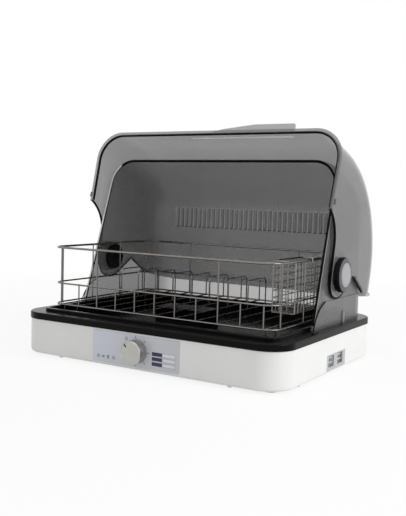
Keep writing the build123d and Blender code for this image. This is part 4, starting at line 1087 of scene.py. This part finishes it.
@dataclass
class SmokyCovers:
    """Rear cover and lid, with dark lines of painted shade and pale lines of painted highlight along their
    edges, the handle, buffers, pads and clips.

    Places on the lid are those of the closed lid, and swung() opens it. The four tuples of cover lines
    are each an inset from the cover's outer face and half the line's thickness.
    """

    shop: Workshop
    pivot: Pair = (0.041, 0.1635)
    open_angle: float = 105.0
    flange_z: float = 0.077
    cover_half: float = 0.243
    cover_draft: float = 0.6
    cover_top: float = 0.359
    cover_corner: float = 0.046
    cover_foot_y: float = -0.047
    cover_lean: float = 18.0
    cover_back: float = 0.188
    line_foot: float = 0.008
    front_line: Pair = (0.0026, 0.0024)
    edge_right: Pair = (0.0002, 0.0006)
    edge_left: Pair = (0.0018, 0.0018)
    shade_left: Pair = (0.0042, 0.0010)
    arc_steps: int = 17
    run_points: int = 11
    louvres: int = 34
    louvre_pitch: float = 0.011
    louvre_low: float = 0.225
    louvre_height: float = 0.042
    vane_drop: float = 0.001
    vane_short: float = 0.003
    vane_corners: Profile = (
        (-0.0036, -0.0028),
        (0.0030, 0.0010),
        (0.0030, 0.0018),
        (-0.0036, -0.0020),
    )
    vane_edge: Pair = (-0.0034, -0.0026)
    vane_edge_radius: float = 0.0008
    vane_foot_half: float = 0.0019
    vane_foot_sink: float = 0.0006
    vane_foot_radius: float = 0.0011
    rim_z: float = 0.079
    rim_front: float = -0.1885
    rim_half: float = 0.249
    rim_draft: float = 0.6
    rim_splay: float = 1.6
    rim_corner: float = 0.050
    rim_line_lift: float = 0.0023
    rim_line_start: float = 0.002
    rim_line_radius: float = 0.0024
    tip_y: float = -0.053
    wall: float = 0.0025
    notch_radius: float = 0.067
    ear_bottom: float = 0.125
    ear_radius: float = 0.0405
    ear_bend: float = 0.024
    side_rise: float = 9.0
    side_line_radius: float = 0.0021
    glint_inset: float = 0.0027
    glint_radius: float = 0.0004
    rear_corner: Pair = (0.0302, 0.2316)
    rear_knee: Pair = (0.0497, 0.2915)
    rear_bend: float = 0.008
    step: float = 0.002
    step_drop: float = 0.0045
    step_gap: float = 0.0025
    step_sink: float = 0.0005
    step_line_radius: float = 0.0010
    step_points: int = 20

    def build(self) -> None:
        """Lays the smoky skins, then the painted shade and painted highlight lines where the walls are seen
        edge-on.
        """
        skins = (
            ("rear_cover", SMOKY, "base", "smoky_plastic"),
            ("lid", SMOKY_LID, "lid", "smoky_plastic"),
            ("lid_handle", SMOKY_HANDLE, "lid", "smoky_plastic"),
            ("lid_buffers", GREY_RUBBER, "lid", "rubber_pads"),
            ("lid_rest_pads", RUBBER, "base", "rubber_pads"),
            # The clips take the vanes' paler tint as a painted glint.
            ("cover_clips", SMOKY_VANE, "base", "light_trim"),
        )
        for skin in skins:
            self.shop.smoothed(*skin)
        rise, fall = slice(None, self.run_points), slice(-self.run_points, None)
        front = slice(None, 1 - self.run_points)
        # Dark lines of painted shade on the lid's side edges, and thin lines of painted glint beside them.
        edge_shade_lines = self.side_lines(0.0, -self.wall / 2, self.side_line_radius)
        glints = self.side_lines(self.glint_inset, 0.0, self.glint_radius)
        lines = (
            ("cover_front_line", self.cover_line(*self.front_line, front), PAINTED_EDGE_SHADE, "base"),
            ("cover_edge_right", self.cover_line(*self.edge_right, rise), PAINTED_EDGE_GLINT, "base"),
            ("cover_edge_left", self.cover_line(*self.edge_left, fall), PAINTED_EDGE_HIGHLIGHT, "base"),
            ("cover_shade_left", self.cover_line(*self.shade_left, fall), PAINTED_EDGE_SHADE, "base"),
            ("louvre_vanes", self.vanes(), SMOKY_VANE, "base"),
            ("louvre_edges", self.vane_edges(), PAINTED_EDGE_HIGHLIGHT, "base"),
            ("louvre_feet", self.vane_feet(), PAINTED_EDGE_SHADE, "base"),
            ("lid_rim_line", self.rim_line(), PAINTED_EDGE_SHADE, "lid"),
            ("lid_side_lines", edge_shade_lines, PAINTED_EDGE_SHADE, "lid"),
            ("lid_side_glints", glints, PAINTED_EDGE_GLINT, "lid"),
            ("cover_step_lines", self.step_lines(), PAINTED_EDGE_SHADE, "base"),
        )
        for name, surface, finish, body in lines:
            self.shop.piece(name, surface, finish, body, "smoky_plastic")

    @property
    def louvre_xs(self) -> np.ndarray:
        """Middles of the louvre slots."""
        return row(self.louvres, self.louvre_pitch)

    @property
    def vane_top(self) -> float:
        """Top of the louvre vanes."""
        return self.louvre_low + self.louvre_height - self.vane_short

    def swung(self, points: np.ndarray) -> np.ndarray:
        """Points of the closed lid turned open about the pivots.

        Args:
            points: Places on the closed lid.

        Returns:
            Their places on the open lid.
        """
        angle = -np.radians(self.open_angle)
        y, z = points[:, 1] - self.pivot[0], points[:, 2] - self.pivot[1]
        turned_y = self.pivot[0] + y * np.cos(angle) - z * np.sin(angle)
        turned_z = self.pivot[1] + y * np.sin(angle) + z * np.cos(angle)
        return places(points[:, 0], turned_y, turned_z)

    def cover_line(self, inset: float, radius: float, run: slice) -> Surface:
        """A round line along the rear cover's leaning front lip: a dark one is painted shade, a pale or grey
        one a painted highlight.

        The lip's path goes up the right side, over the top and down the left.

        Args:
            inset: Distance from the cover's outer face.
            radius: Half the line's thickness.
            run: The part of the lip's path that it follows.

        Returns:
            The line's surface.
        """
        narrow = np.tan(np.radians(self.cover_draft))
        low, top = self.flange_z + self.line_foot, self.cover_top - inset
        foot = self.cover_half - inset - (low - self.flange_z) * narrow
        head = self.cover_half - inset - (self.cover_top - self.flange_z) * narrow
        corners = [(foot, 0, low), (head, 0, top), (-head, 0, top), (-foot, 0, low)]
        path = bent_path(corners, self.cover_corner - inset, steps=self.arc_steps)
        lean = np.radians(self.cover_lean)
        path[:, 1] = self.cover_foot_y + (path[:, 2] - self.flange_z) * np.tan(lean)
        normal = np.array([0, -np.cos(lean), np.sin(lean)])
        return tube(path[run] - 0.5 * radius * normal, radius, normal)

    def vanes(self) -> Surface:
        """Slanting strips behind the louvre slots, each four upright lines joined round.

        Returns:
            The strips' surface.
        """
        across = np.array(self.vane_corners)
        level = np.array([[self.louvre_low - self.vane_drop], [self.vane_top]])
        x = self.louvre_xs[:, None, None] + across[:, 0]
        return lattice(places(x, self.cover_back + across[:, 1], level), False, True, True)

    def vane_edges(self) -> Surface:
        """A thin upright line of painted highlight along the near edge of each vane."""
        x, y = self.louvre_xs + self.vane_edge[0], self.cover_back + self.vane_edge[1]
        return rods(places(x, y, self.louvre_low), places(x, y, self.vane_top), self.vane_edge_radius)

    def vane_feet(self) -> Surface:
        """A short dark bar of painted shade across the foot of each louvre slot.

        Returns:
            The bars' surface.
        """
        y = self.cover_back - self.vane_foot_sink
        ends = (places(self.louvre_xs + way * self.vane_foot_half, y, self.louvre_low) for _, way in SIDES)
        return rods(*ends, self.vane_foot_radius)

    def half_at(self, y: np.ndarray) -> np.ndarray:
        """Half the closed lid's width at its rim, which grows towards the front by the splay."""
        return self.rim_half + (self.pivot[0] - y) * np.tan(np.radians(self.rim_splay))

    def rim_line(self) -> Surface:
        """A dark line of painted shade along the inner edge of the lid's rim, from one tip round the front to
        the other.

        Returns:
            The line's surface.
        """
        tip, front = self.tip_y - self.rim_line_start, self.rim_front + self.wall
        back_half, front_half = self.half_at(np.array([tip, front])) - self.wall
        z = self.rim_z + self.rim_line_lift
        corners = [(back_half, tip, z), (front_half, front, z), (-front_half, front, z), (-back_half, tip, z)]
        path = bent_path(corners, self.rim_corner - self.wall, steps=self.arc_steps)
        foot, head = self.swung(np.array([[0.0, *self.pivot], [0.0, self.pivot[0], self.pivot[1] + 1.0]]))
        return tube(self.swung(path), self.rim_line_radius, head - foot)

    def step_lines(self) -> Surface:
        """Dark lines of painted shade round the fronts of the raised steps on the cover's sides, arcs about
        the lid's notches.

        Returns:
            The surface of both sides' lines.
        """
        centre, radius = self.notch_centre(), self.notch_radius - self.step_gap
        low = np.arcsin((self.flange_z - centre[1]) / radius)
        high = np.arcsin((self.ear_bottom - self.step_drop - centre[1]) / radius)
        turn = np.linspace(low, high, self.step_points)
        y, z = centre[0] - radius * np.cos(turn), centre[1] + radius * np.sin(turn)
        half = self.cover_half + self.step - self.step_sink
        paths = (places(way * half, y, z) for _, way in SIDES)
        return Surface.joined(tube(path, self.step_line_radius, RIGHTWARD, sides=10) for path in paths)

    def notch_centre(self) -> Pair:
        """Middle of the arc that the closed lid's side follows between its tip and its ear.

        Returns:
            Its y and z.
        """
        drop = self.ear_bottom - self.rim_z
        reach = np.sqrt(2 * self.notch_radius * drop - drop**2)
        return self.tip_y + reach, self.ear_bottom - self.notch_radius

    def side_outline(self) -> np.ndarray:
        """The closed lid's side edge: round the notch, along the ear's foot, round its nose and rear corner.

        Returns:
            The points along it, at x zero.
        """
        notch_y, notch_z = self.notch_centre()
        start = np.arctan2(self.rim_z - notch_z, self.tip_y - notch_y)
        notch = side_arc((notch_y, notch_z), self.notch_radius, start, np.pi / 2, 26)
        nose_y = self.pivot[0] + self.ear_radius
        foot_z = self.ear_bottom + (nose_y - notch_y) * np.tan(np.radians(self.side_rise))
        corners = [(0, notch_y, self.ear_bottom), (0, nose_y, foot_z), (0, nose_y, self.pivot[1])]
        foot = bent_path(corners, self.ear_bend, steps=12)
        nose = side_arc(self.pivot, self.ear_radius, 0.0, np.pi / 4, 10)
        corners = [nose[-1], (0, *self.rear_corner), (0, *self.rear_knee)]
        rear = bent_path(corners, self.rear_bend, steps=10)
        return np.concatenate([notch, foot[1:], nose[1:], rear[1:]])

    def side_lines(self, inset: float, outward: float, radius: float) -> Surface:
        """Lines beside the lid's side edges: the dark ones painted shade, the thin grey ones painted glints.

        Args:
            inset: Distance from the edge, square to it.
            outward: Distance from the wall's outer face.
            radius: Half the line's thickness.

        Returns:
            The surface of both sides' lines.
        """
        outline = self.side_outline()
        along = unit(np.gradient(outline, axis=0))
        y, z = outline[:, 1] - inset * along[:, 2], outline[:, 2] + inset * along[:, 1]
        inward = (z - self.rim_z) * np.tan(np.radians(self.rim_draft))
        half = self.half_at(y) + outward - inward
        paths = (self.swung(places(way * half, y, z)) for _, way in SIDES)
        return Surface.joined(tube(path, radius, RIGHTWARD, sides=10) for path in paths)


@dataclass
class PivotKnobs:
    """Ribbed round knobs on the lid's pivots, each with a pale cap, and the nuts inside.

    Attributes:
        shoulder: The knob's round front edge, each point in from its side and down from its face.
        mouth: The edge of the cap's recess, each point out from the cap and down from the face.
        cap_edge: The cap's round edge and ring groove, each point in from its side and down from its top.
        cap_crown: Radius of the cap's crown, and how far it lies below the top.
    """

    shop: Workshop
    pivot: Pair = (0.041, 0.1635)
    inner_x: float = 0.249565
    thickness: float = 0.011
    radius: float = 0.030
    chamfer: float = 0.0012
    rib_start: float = 0.003
    shoulder: Profile = (
        (0.0, 0.0034),
        (0.0004, 0.0016),
        (0.0012, 0.0006),
        (0.0026, 0.0),
    )
    mouth: Profile = ((0.0008, 0.0), (0.0002, 0.0006))
    recess_gap: float = 0.0001
    cap_radius: float = 0.021
    cap_proud: float = 0.0015
    cap_thickness: float = 0.0035
    cap_edge: Profile = (
        (0.0, 0.0012),
        (0.0003, 0.0006),
        (0.0010, 0.0002),
        (0.0022, 0.0002),
        (0.0026, 0.0006),
        (0.0034, 0.0006),
        (0.0038, 0.0002),
    )
    cap_crown: Pair = (0.010, 0.00005)
    cap_steps: int = 112
    pin_radius: float = 0.007
    pin_chamfer: float = 0.0005
    pin_end_x: float = 0.23354
    rib_count: int = 48
    rib_steps: int = 8
    rib_depth: float = 0.0006
    rib_shares: Numbers = (0.0,) * 5 + (0.3, 1.0, 1.0, 0.4) + (0.0,) * 6

    def build(self) -> None:
        """Makes both knobs and caps and dresses the nuts."""
        depth = self.rib_depth * np.array(self.rib_shares)
        for side, way in SIDES:
            centre, axis = (way * self.inner_x, *self.pivot), (way, 0, 0)
            grip = turned(self.grip(), centre, axis, self.rib_steps * self.rib_count, self.rib_count, depth)
            cap = turned(self.cap(), centre, axis, self.cap_steps)
            node = (f"pivot_knob_{side}",)
            self.shop.piece(f"knob_grip_{side}", grip, KNOB_GRIP, "base", "black_plastic", node, 30.0)
            node = (f"pivot_cap_{side}",)
            self.shop.piece(f"knob_cap_{side}", cap, TRIM, "base", "light_trim", node, 24.0)
        self.shop.smoothed("pivot_nuts", KNOB_BLACK, "base", "black_plastic")

    @property
    def seat(self) -> float:
        """Height of the cap's underside."""
        return self.thickness - self.cap_thickness + self.cap_proud

    def grip(self) -> list[Pair]:
        """Profile of the pin, back face, ribbed side, round shoulder and the recess of the cap.

        Returns:
            Radius and height at each point.
        """
        pin = self.pin_end_x - self.inner_x
        return [
            (0.0, pin),
            (self.pin_radius - self.pin_chamfer, pin),
            (self.pin_radius, pin + self.pin_chamfer),
            (self.pin_radius, 0.0),
            (self.radius - self.chamfer, 0.0),
            (self.radius, self.chamfer),
            (self.radius, self.rib_start),
            *((self.radius - inward, self.thickness - down) for inward, down in self.shoulder),
            *((self.cap_radius + out, self.thickness - down) for out, down in self.mouth),
            (self.cap_radius + self.recess_gap, self.seat),
            (0.0, self.seat),
        ]

    def cap(self) -> list[Pair]:
        """Profile of a shallow domed disc with a round edge and a ring groove.

        Returns:
            Radius and height at each point.
        """
        top = self.thickness + self.cap_proud
        return [
            (0.0, self.seat),
            (self.cap_radius, self.seat),
            *((self.cap_radius - inward, top - down) for inward, down in self.cap_edge),
            (self.cap_crown[0], top - self.cap_crown[1]),
            (0.0, top),
        ]


@dataclass
class WireRack:
    """Welded wire rack: three loops, uprights on four sides, floor wires, feet and dividers."""

    shop: Workshop
    half_width: float = 0.2235
    front_y: float = -0.153
    back_y: float = 0.150
    corner: float = 0.024
    floor_z: float = 0.089
    mid_z: float = 0.127
    top_z: float = 0.1915
    top_wire: float = 0.004
    wire: float = 0.003
    thin: float = 0.0024
    sink: float = 0.0003
    weld: float = 0.0011
    pitch: float = 0.041
    count: int = 11
    tall: tuple[int, ...] = (0, 2, 8)
    side_inset: float = 0.024
    side_count: int = 4
    basin_z: float = 0.056
    foot_width: float = 0.034
    foot_inset: float = 0.027
    foot_bend: float = 0.006
    divider_count: int = 8
    divider_y: float = 0.025
    divider_length: float = 0.070
    divider_height: float = 0.052
    divider_bend: float = 0.010

    def build(self) -> None:
        """Makes every run of wire as its own piece."""
        inset = self.thin / 2 - self.sink
        front, rear = self.front_y + inset, self.back_y - inset
        low, high = self.floor_z - self.wire / 2, self.top_z + self.top_wire / 2
        heads = np.where(np.isin(np.arange(self.count), self.tall), high, self.mid_z + self.wire / 2)
        loops = {
            "top": (self.top_z, self.top_wire),
            "mid": (self.mid_z, self.wire),
            "floor": (self.floor_z, self.wire),
        }
        for name, (level, wire) in loops.items():
            self.add(f"rack_{name}_frame_wire", self.loop(level, wire), f"rack_{name}_frame")
        for name, y in (("front", front), ("rear", rear)):
            wall = self.bars(places(self.xs, y, low), places(self.xs, y, heads))
            self.add(f"rack_{name}_uprights_wire", wall, f"rack_{name}_uprights")
        for name, way in SIDES:
            x = way * (self.half_width - inset)
            wall = self.bars(places(x, self.side_ys, low), places(x, self.side_ys, high))
            self.add(f"rack_{name}_uprights_wire", wall, f"rack_{name}_uprights")
        floor = self.bars(places(self.xs, front, self.floor_z), places(self.xs, rear, self.floor_z))
        self.add("rack_floor_rods", floor, "rack_floor_wires")
        self.add("rack_foot_bends", self.feet(), "rack_feet")
        self.add("plate_divider_bends", self.dividers(), "plate_dividers")
        spots = beads(self.weld_places(front, rear), self.weld)
        self.shop.piece("rack_weld_spots", spots, RACK_STEEL, "rack", "rack_steel", (), 80.0)

    def add(self, name: str, surface: Surface, node: str) -> None:
        """Makes a piece of rack wire that replaces a node."""
        self.shop.piece(name, surface, RACK_STEEL, "rack", "rack_steel", (node,), 50.0)

    @property
    def xs(self) -> np.ndarray:
        """Places of the front and rear uprights and of the floor wires."""
        return row(self.count, self.pitch)

    @property
    def side_ys(self) -> np.ndarray:
        """Places of the uprights at both ends."""
        return np.linspace(self.front_y + self.side_inset, self.back_y - self.side_inset, self.side_count)

    def bars(self, starts: np.ndarray, ends: np.ndarray) -> Surface:
        """Straight thin wires between two rows of points."""
        return rods(starts, ends, self.thin / 2, 10)

    def loop(self, level: float, wire: float) -> Surface:
        """A flat loop of round wire with bent corners.

        Args:
            level: Height of its middle.
            wire: Its thickness.

        Returns:
            The loop's surface.
        """
        x, low, high = self.half_width + wire / 2, self.front_y - wire / 2, self.back_y + wire / 2
        corners = [(-x, low, level), (x, low, level), (x, high, level), (-x, high, level)]
        return tube(bent_path(corners, self.corner + wire / 2, True, 14), wire / 2, UPWARD, True)

    def staple(self, x: float, low_y: float, high_y: float, foot: float, head: float, bend: float) -> Surface:
        """One wire bent to a staple at x: legs at two y, their ends at foot and the cross run at head."""
        corners = [(x, low_y, foot), (x, low_y, head), (x, high_y, head), (x, high_y, foot)]
        return tube(bent_path(corners, bend), self.thin / 2, RIGHTWARD, sides=10)

    def feet(self) -> Surface:
        """Four staples that stand on the basin's floor.

        Returns:
            Their surface.
        """
        head = self.floor_z - self.thin / 2 + self.sink
        foot = self.basin_z + self.thin / 2
        half = self.foot_width / 2
        return Surface.joined(
            self.staple(x, y - half, y + half, head, foot, self.foot_bend)
            for x in (self.xs[0], self.xs[-1])
            for y in (self.front_y + self.foot_inset, self.back_y - self.foot_inset)
        )

    def dividers(self) -> Surface:
        """Staples on the floor wires, with gaps between them.

        Returns:
            Their surface.
        """
        foot = self.floor_z + self.thin / 2 - self.sink
        head = self.floor_z + self.divider_height
        far = self.divider_y + self.divider_length
        xs = self.xs[: self.divider_count]
        return Surface.joined(self.staple(x, self.divider_y, far, foot, head, self.divider_bend) for x in xs)

    def weld_places(self, front: float, rear: float) -> np.ndarray:
        """Where uprights meet the loops.

        Args:
            front: Place of the front uprights.
            rear: Place of the rear uprights.

        Returns:
            The points, one row each.
        """
        spots = []
        for y in (front - self.thin / 2, rear + self.thin / 2):
            spots += [places(self.xs, y, level) for level in (self.floor_z, self.mid_z)]
            spots.append(places(self.xs[list(self.tall)], y, self.top_z))
        for _, way in SIDES:
            x = way * (self.half_width - self.sink)
            spots += [places(x, self.side_ys, level) for level in (self.floor_z, self.mid_z, self.top_z)]
        return np.concatenate(spots)


@dataclass
class CutleryBasket:
    """Mesh basket of crossed wires under a round rim, hung on the rack by two hooks."""

    shop: Workshop
    inner_x: float = 0.175
    outer_x: float = 0.217
    front_y: float = -0.066
    back_y: float = 0.046
    bottom_z: float = 0.1033
    top_z: float = 0.1873
    rim_z: float = 0.1885
    rim_wire: float = 0.003
    rim_bend: float = 0.0065
    mesh_wire: float = 0.0015
    mesh_inset: float = 0.0008
    mesh_layer: float = 0.35
    pitch: float = 0.0125
    hook_wire: float = 0.0025
    hook_inset: float = 0.036
    hook_lip: float = 0.008
    rack_half: float = 0.2235
    rack_top: float = 0.1915
    rack_wire: float = 0.004
    gap: float = 0.0003
    sink: float = 0.0003

    def build(self) -> None:
        """Makes the five mesh walls, the rim and the hooks."""
        near, far = self.inner_x + self.mesh_inset, self.outer_x - self.mesh_inset
        front, back = self.front_y + self.mesh_inset, self.back_y - self.mesh_inset
        low = self.bottom_z + self.mesh_inset
        wide, deep, tall = (far - near, 0, 0), (0, back - front, 0), (0, 0, self.top_z - low)
        walls = {
            "basket_front": ((near, front, low), wide, tall),
            "basket_back": ((near, back, low), wide, tall),
            "basket_inner_side": ((near, front, low), deep, tall),
            "basket_outer_side": ((far, front, low), deep, tall),
            "basket_floor": ((near, front, low), wide, deep),
        }
        for node, sides in walls.items():
            self.add(f"{node}_mesh", self.mesh(*sides), node)
        corners = [(x, y, self.rim_z) for x, y in ((near, front), (far, front), (far, back), (near, back))]
        rim = tube(bent_path(corners, self.rim_bend, True), self.rim_wire / 2, UPWARD, True)
        self.add("basket_rim_wire", rim, "basket_rim")
        self.add("basket_hook_bends", self.hooks(far), "basket_hooks")

    def add(self, name: str, surface: Surface, node: str) -> None:
        """Makes a piece of basket wire that replaces a node."""
        self.shop.piece(name, surface, BASKET_STEEL, "basket", "basket_steel", (node,), 50.0)

    def mesh(self, corner: Place, first: Place, second: Place) -> Surface:
        """Two layers of crossed wires on a flat rectangle.

        Args:
            corner: A corner of the rectangle.
            first: One side as a vector.
            second: The other side as a vector.

        Returns:
            The wires' surface.
        """
        origin, u, v = np.array([corner, first, second], float)
        out = unit(np.cross(u, v)) * self.mesh_wire * self.mesh_layer
        parts = []
        for side, other, layer in ((u, v, out), (v, u, -out)):
            count = max(2, round(np.linalg.norm(side) / self.pitch) + 1)
            starts = origin + layer + np.linspace(0, 1, count)[:, None] * side
            parts.append(rods(starts, starts + other, self.mesh_wire / 2, 6))
        return Surface.joined(parts)

    def hooks(self, wall_x: float) -> Surface:
        """Two wires bent over the rack's top wire.

        Args:
            wall_x: Middle of the basket's outer wall.

        Returns:
            The hooks' surface.
        """
        root_x = wall_x + (self.rim_wire + self.hook_wire) / 2 - self.sink
        bend = (self.rack_wire + self.hook_wire) / 2 + self.gap
        top = self.rack_top + bend
        outer_x = self.rack_half + self.rack_wire + self.gap + self.hook_wire / 2
        low, lip = self.rim_z - self.rim_wire, top - self.hook_lip
        parts = []
        for y in (self.front_y + self.hook_inset, self.back_y - self.hook_inset):
            corners = [(root_x, y, low), (root_x, y, top), (outer_x, y, top), (outer_x, y, lip)]
            parts.append(tube(bent_path(corners, bend), self.hook_wire / 2, REARWARD, sides=10))
        return Surface.joined(parts)


@dataclass
class InnerWorks:
    """Fan, heater, timer body and wiring inside the base."""

    shop: Workshop
    finishes: dict[str, Finish] = field(
        default_factory=lambda: {
            "fan_scroll": INNER_WHITE,
            "fan_impeller": INNER_WHITE,
            "fan_motor": MOTOR_PAINT,
            "motor_shaft": FIXINGS,
            "heater_duct": INNER_WHITE,
            "heater": HEATER_METAL,
            "thermostat": SAFETY,
            "thermal_fuse": SAFETY,
            "terminal_block": INNER_WHITE,
            "wiring_loom": LOOM,
            "timer_body": MOTOR_PAINT,
            "timer_nut": FIXINGS,
        }
    )

    def build(self) -> None:
        """Dresses every hidden node."""
        for node, finish in self.finishes.items():
            self.shop.dress(node, finish)


@dataclass(frozen=True)
class Lamp:
    """A soft rectangular lamp, with its power in watts."""

    name: str
    place: Triple
    aim: Triple
    size: Pair
    power: float

    def hang(self, scene: bpy.types.Scene) -> None:
        """Puts the lamp into a scene.

        Args:
            scene: The scene to light.
        """
        light = bpy.data.lights.new(self.name, "AREA")
        light.shape = "RECTANGLE"
        light.size, light.size_y = self.size
        light.energy = self.power
        lamp = bpy.data.objects.new(self.name, light)
        lamp.location = self.place
        lamp.rotation_euler = (Vector(self.aim) - Vector(self.place)).to_track_quat("-Z", "Y").to_euler()
        scene.collection.objects.link(lamp)


@dataclass
class Studio:
    """Pale floor, soft light and the camera of the photograph.

    Attributes:
        lens: Focal length in millimetres for a long side of the sensor's size.
        sensor: The sensor's long side in millimetres.
        eye: The camera's place.
        yaw: Turn to the left from straight ahead, radians.
        pitch: Look down, radians.
        roll: Tilt, radians.
        sky: Strength of the world as light.
        floor_half: Half the floor's width.
        floor_tone: The floor's grey.
        floor_glow: Share of the floor's white that is its own, near the object.
        glow_start: Distance from which it is more.
        glow_reach: Distance over which it grows to all.
    """

    lens: float = 53.88
    sensor: float = 36.0
    eye: Triple = (0.73733, -1.20052, 0.29273)
    yaw: float = 0.5509282
    pitch: float = 0.0814811
    roll: float = 0.0283475
    sky: float = 0.45
    floor_half: float = 9.0
    floor_tone: float = 0.9
    floor_glow: float = 0.86
    glow_start: float = 0.5
    glow_reach: float = 1.1
    lamps: tuple[Lamp, ...] = (
        Lamp("key", (2.3, 0.0, 1.2), (0.0, 0.0, 0.15), (1.6, 1.6), 34.0),
        Lamp("front_fill", (-1.3, -2.3, 1.2), (0.0, 0.0, 0.12), (1.8, 1.4), 6.0),
        Lamp("top", (0.1, 0.2, 2.2), (0.0, 0.0, 0.1), (1.8, 1.8), 14.0),
    )

    def build(self) -> None:
        """Sets the world, the floor, the lamps and the camera."""
        scene = bpy.context.scene
        scene.view_settings.view_transform = "Standard"
        self.world(scene)
        self.floor(scene)
        for lamp in self.lamps:
            lamp.hang(scene)
        self.camera(scene)

    @staticmethod
    def seen_rays(graph: NodeGraph) -> Signal:
        """1 for camera, glossy and transmission rays, else 0.

        Args:
            graph: The node tree that asks.

        Returns:
            The share of such rays.
        """
        rays = graph.node("ShaderNodeLightPath").outputs
        camera, glossy, through = (
            Signal(graph, rays[f"Is {kind} Ray"]) for kind in ("Camera", "Glossy", "Transmission")
        )
        return (camera + glossy + through).clipped()

    def world(self, scene: bpy.types.Scene) -> None:
        """White to the eye and to reflections, softer as light.

        Args:
            scene: The scene that the world surrounds.
        """
        world = bpy.data.worlds.new("studio")
        world.use_nodes = True
        scene.world = world
        graph = NodeGraph(world.node_tree)
        soft, white = (
            graph.node("ShaderNodeBackground", {"Color": (1.0, 1.0, 1.0), "Strength": strength})
            for strength in (self.sky, 1.0)
        )
        graph.mixture(self.seen_rays(graph), soft, white, "ShaderNodeOutputWorld")

    def floor(self, scene: bpy.types.Scene) -> None:
        """A wide pale floor that keeps the object's shadow, a flat grid.

        Args:
            scene: The scene that it lies in.
        """
        side = np.linspace(-self.floor_half, self.floor_half, 7)
        mesh = lattice(places(side[:, None], side, 0.0), False, False).mesh("studio_floor")
        material = bpy.data.materials.new("studio_floor")
        material.use_nodes = True
        graph = NodeGraph(material.node_tree)
        matte = graph.node("ShaderNodeBsdfDiffuse", {"Color": (self.floor_tone,) * 3})
        glow = graph.node("ShaderNodeEmission", {"Color": (1.0, 1.0, 1.0), "Strength": 1.0})
        x, y, _ = graph.axes(graph.place())
        far = (((x * x + y * y) ** 0.5 - self.glow_start) / self.glow_reach).clipped()
        share = self.seen_rays(graph) * (self.floor_glow + far * (1.0 - self.floor_glow))
        graph.mixture(share, matte, glow, "ShaderNodeOutputMaterial")
        mesh.materials.append(material)
        floor = bpy.data.objects.new("studio_floor", mesh)
        scene.collection.objects.link(floor)

    def camera(self, scene: bpy.types.Scene) -> None:
        """The camera, from its place, turn, downward look and tilt.

        Args:
            scene: The scene that it looks at.
        """
        level = np.cos(self.pitch)
        ahead = np.array([-np.sin(self.yaw) * level, np.cos(self.yaw) * level, -np.sin(self.pitch)])
        right = np.array([np.cos(self.yaw), np.sin(self.yaw), 0.0])
        up = np.cross(right, ahead)
        turn = np.eye(4)
        turn[:3, 0] = np.cos(self.roll) * right + np.sin(self.roll) * up
        turn[:3, 1] = -np.sin(self.roll) * right + np.cos(self.roll) * up
        turn[:3, 2] = -ahead
        turn[:3, 3] = self.eye
        data = bpy.data.cameras.new("photo_camera")
        data.lens = self.lens
        data.sensor_width = self.sensor
        data.clip_start = 0.01
        camera = bpy.data.objects.new("photo_camera", data)
        camera.matrix_world = Matrix(turn.tolist())
        scene.collection.objects.link(camera)
        scene.camera = camera


def main() -> None:
    """Loads the frame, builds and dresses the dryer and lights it."""
    logging.basicConfig(level=logging.INFO, format="%(name)s: %(message)s")
    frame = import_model()
    shop = Workshop(frame["nodes"])
    outer = (BaseUnit, ControlPanel, TimerKnob, SmokyCovers, PivotKnobs)
    for part in (*outer, WireRack, CutleryBasket, InnerWorks):
        part(shop).build()
    Studio().build()


if __name__ == "__main__":
    main()
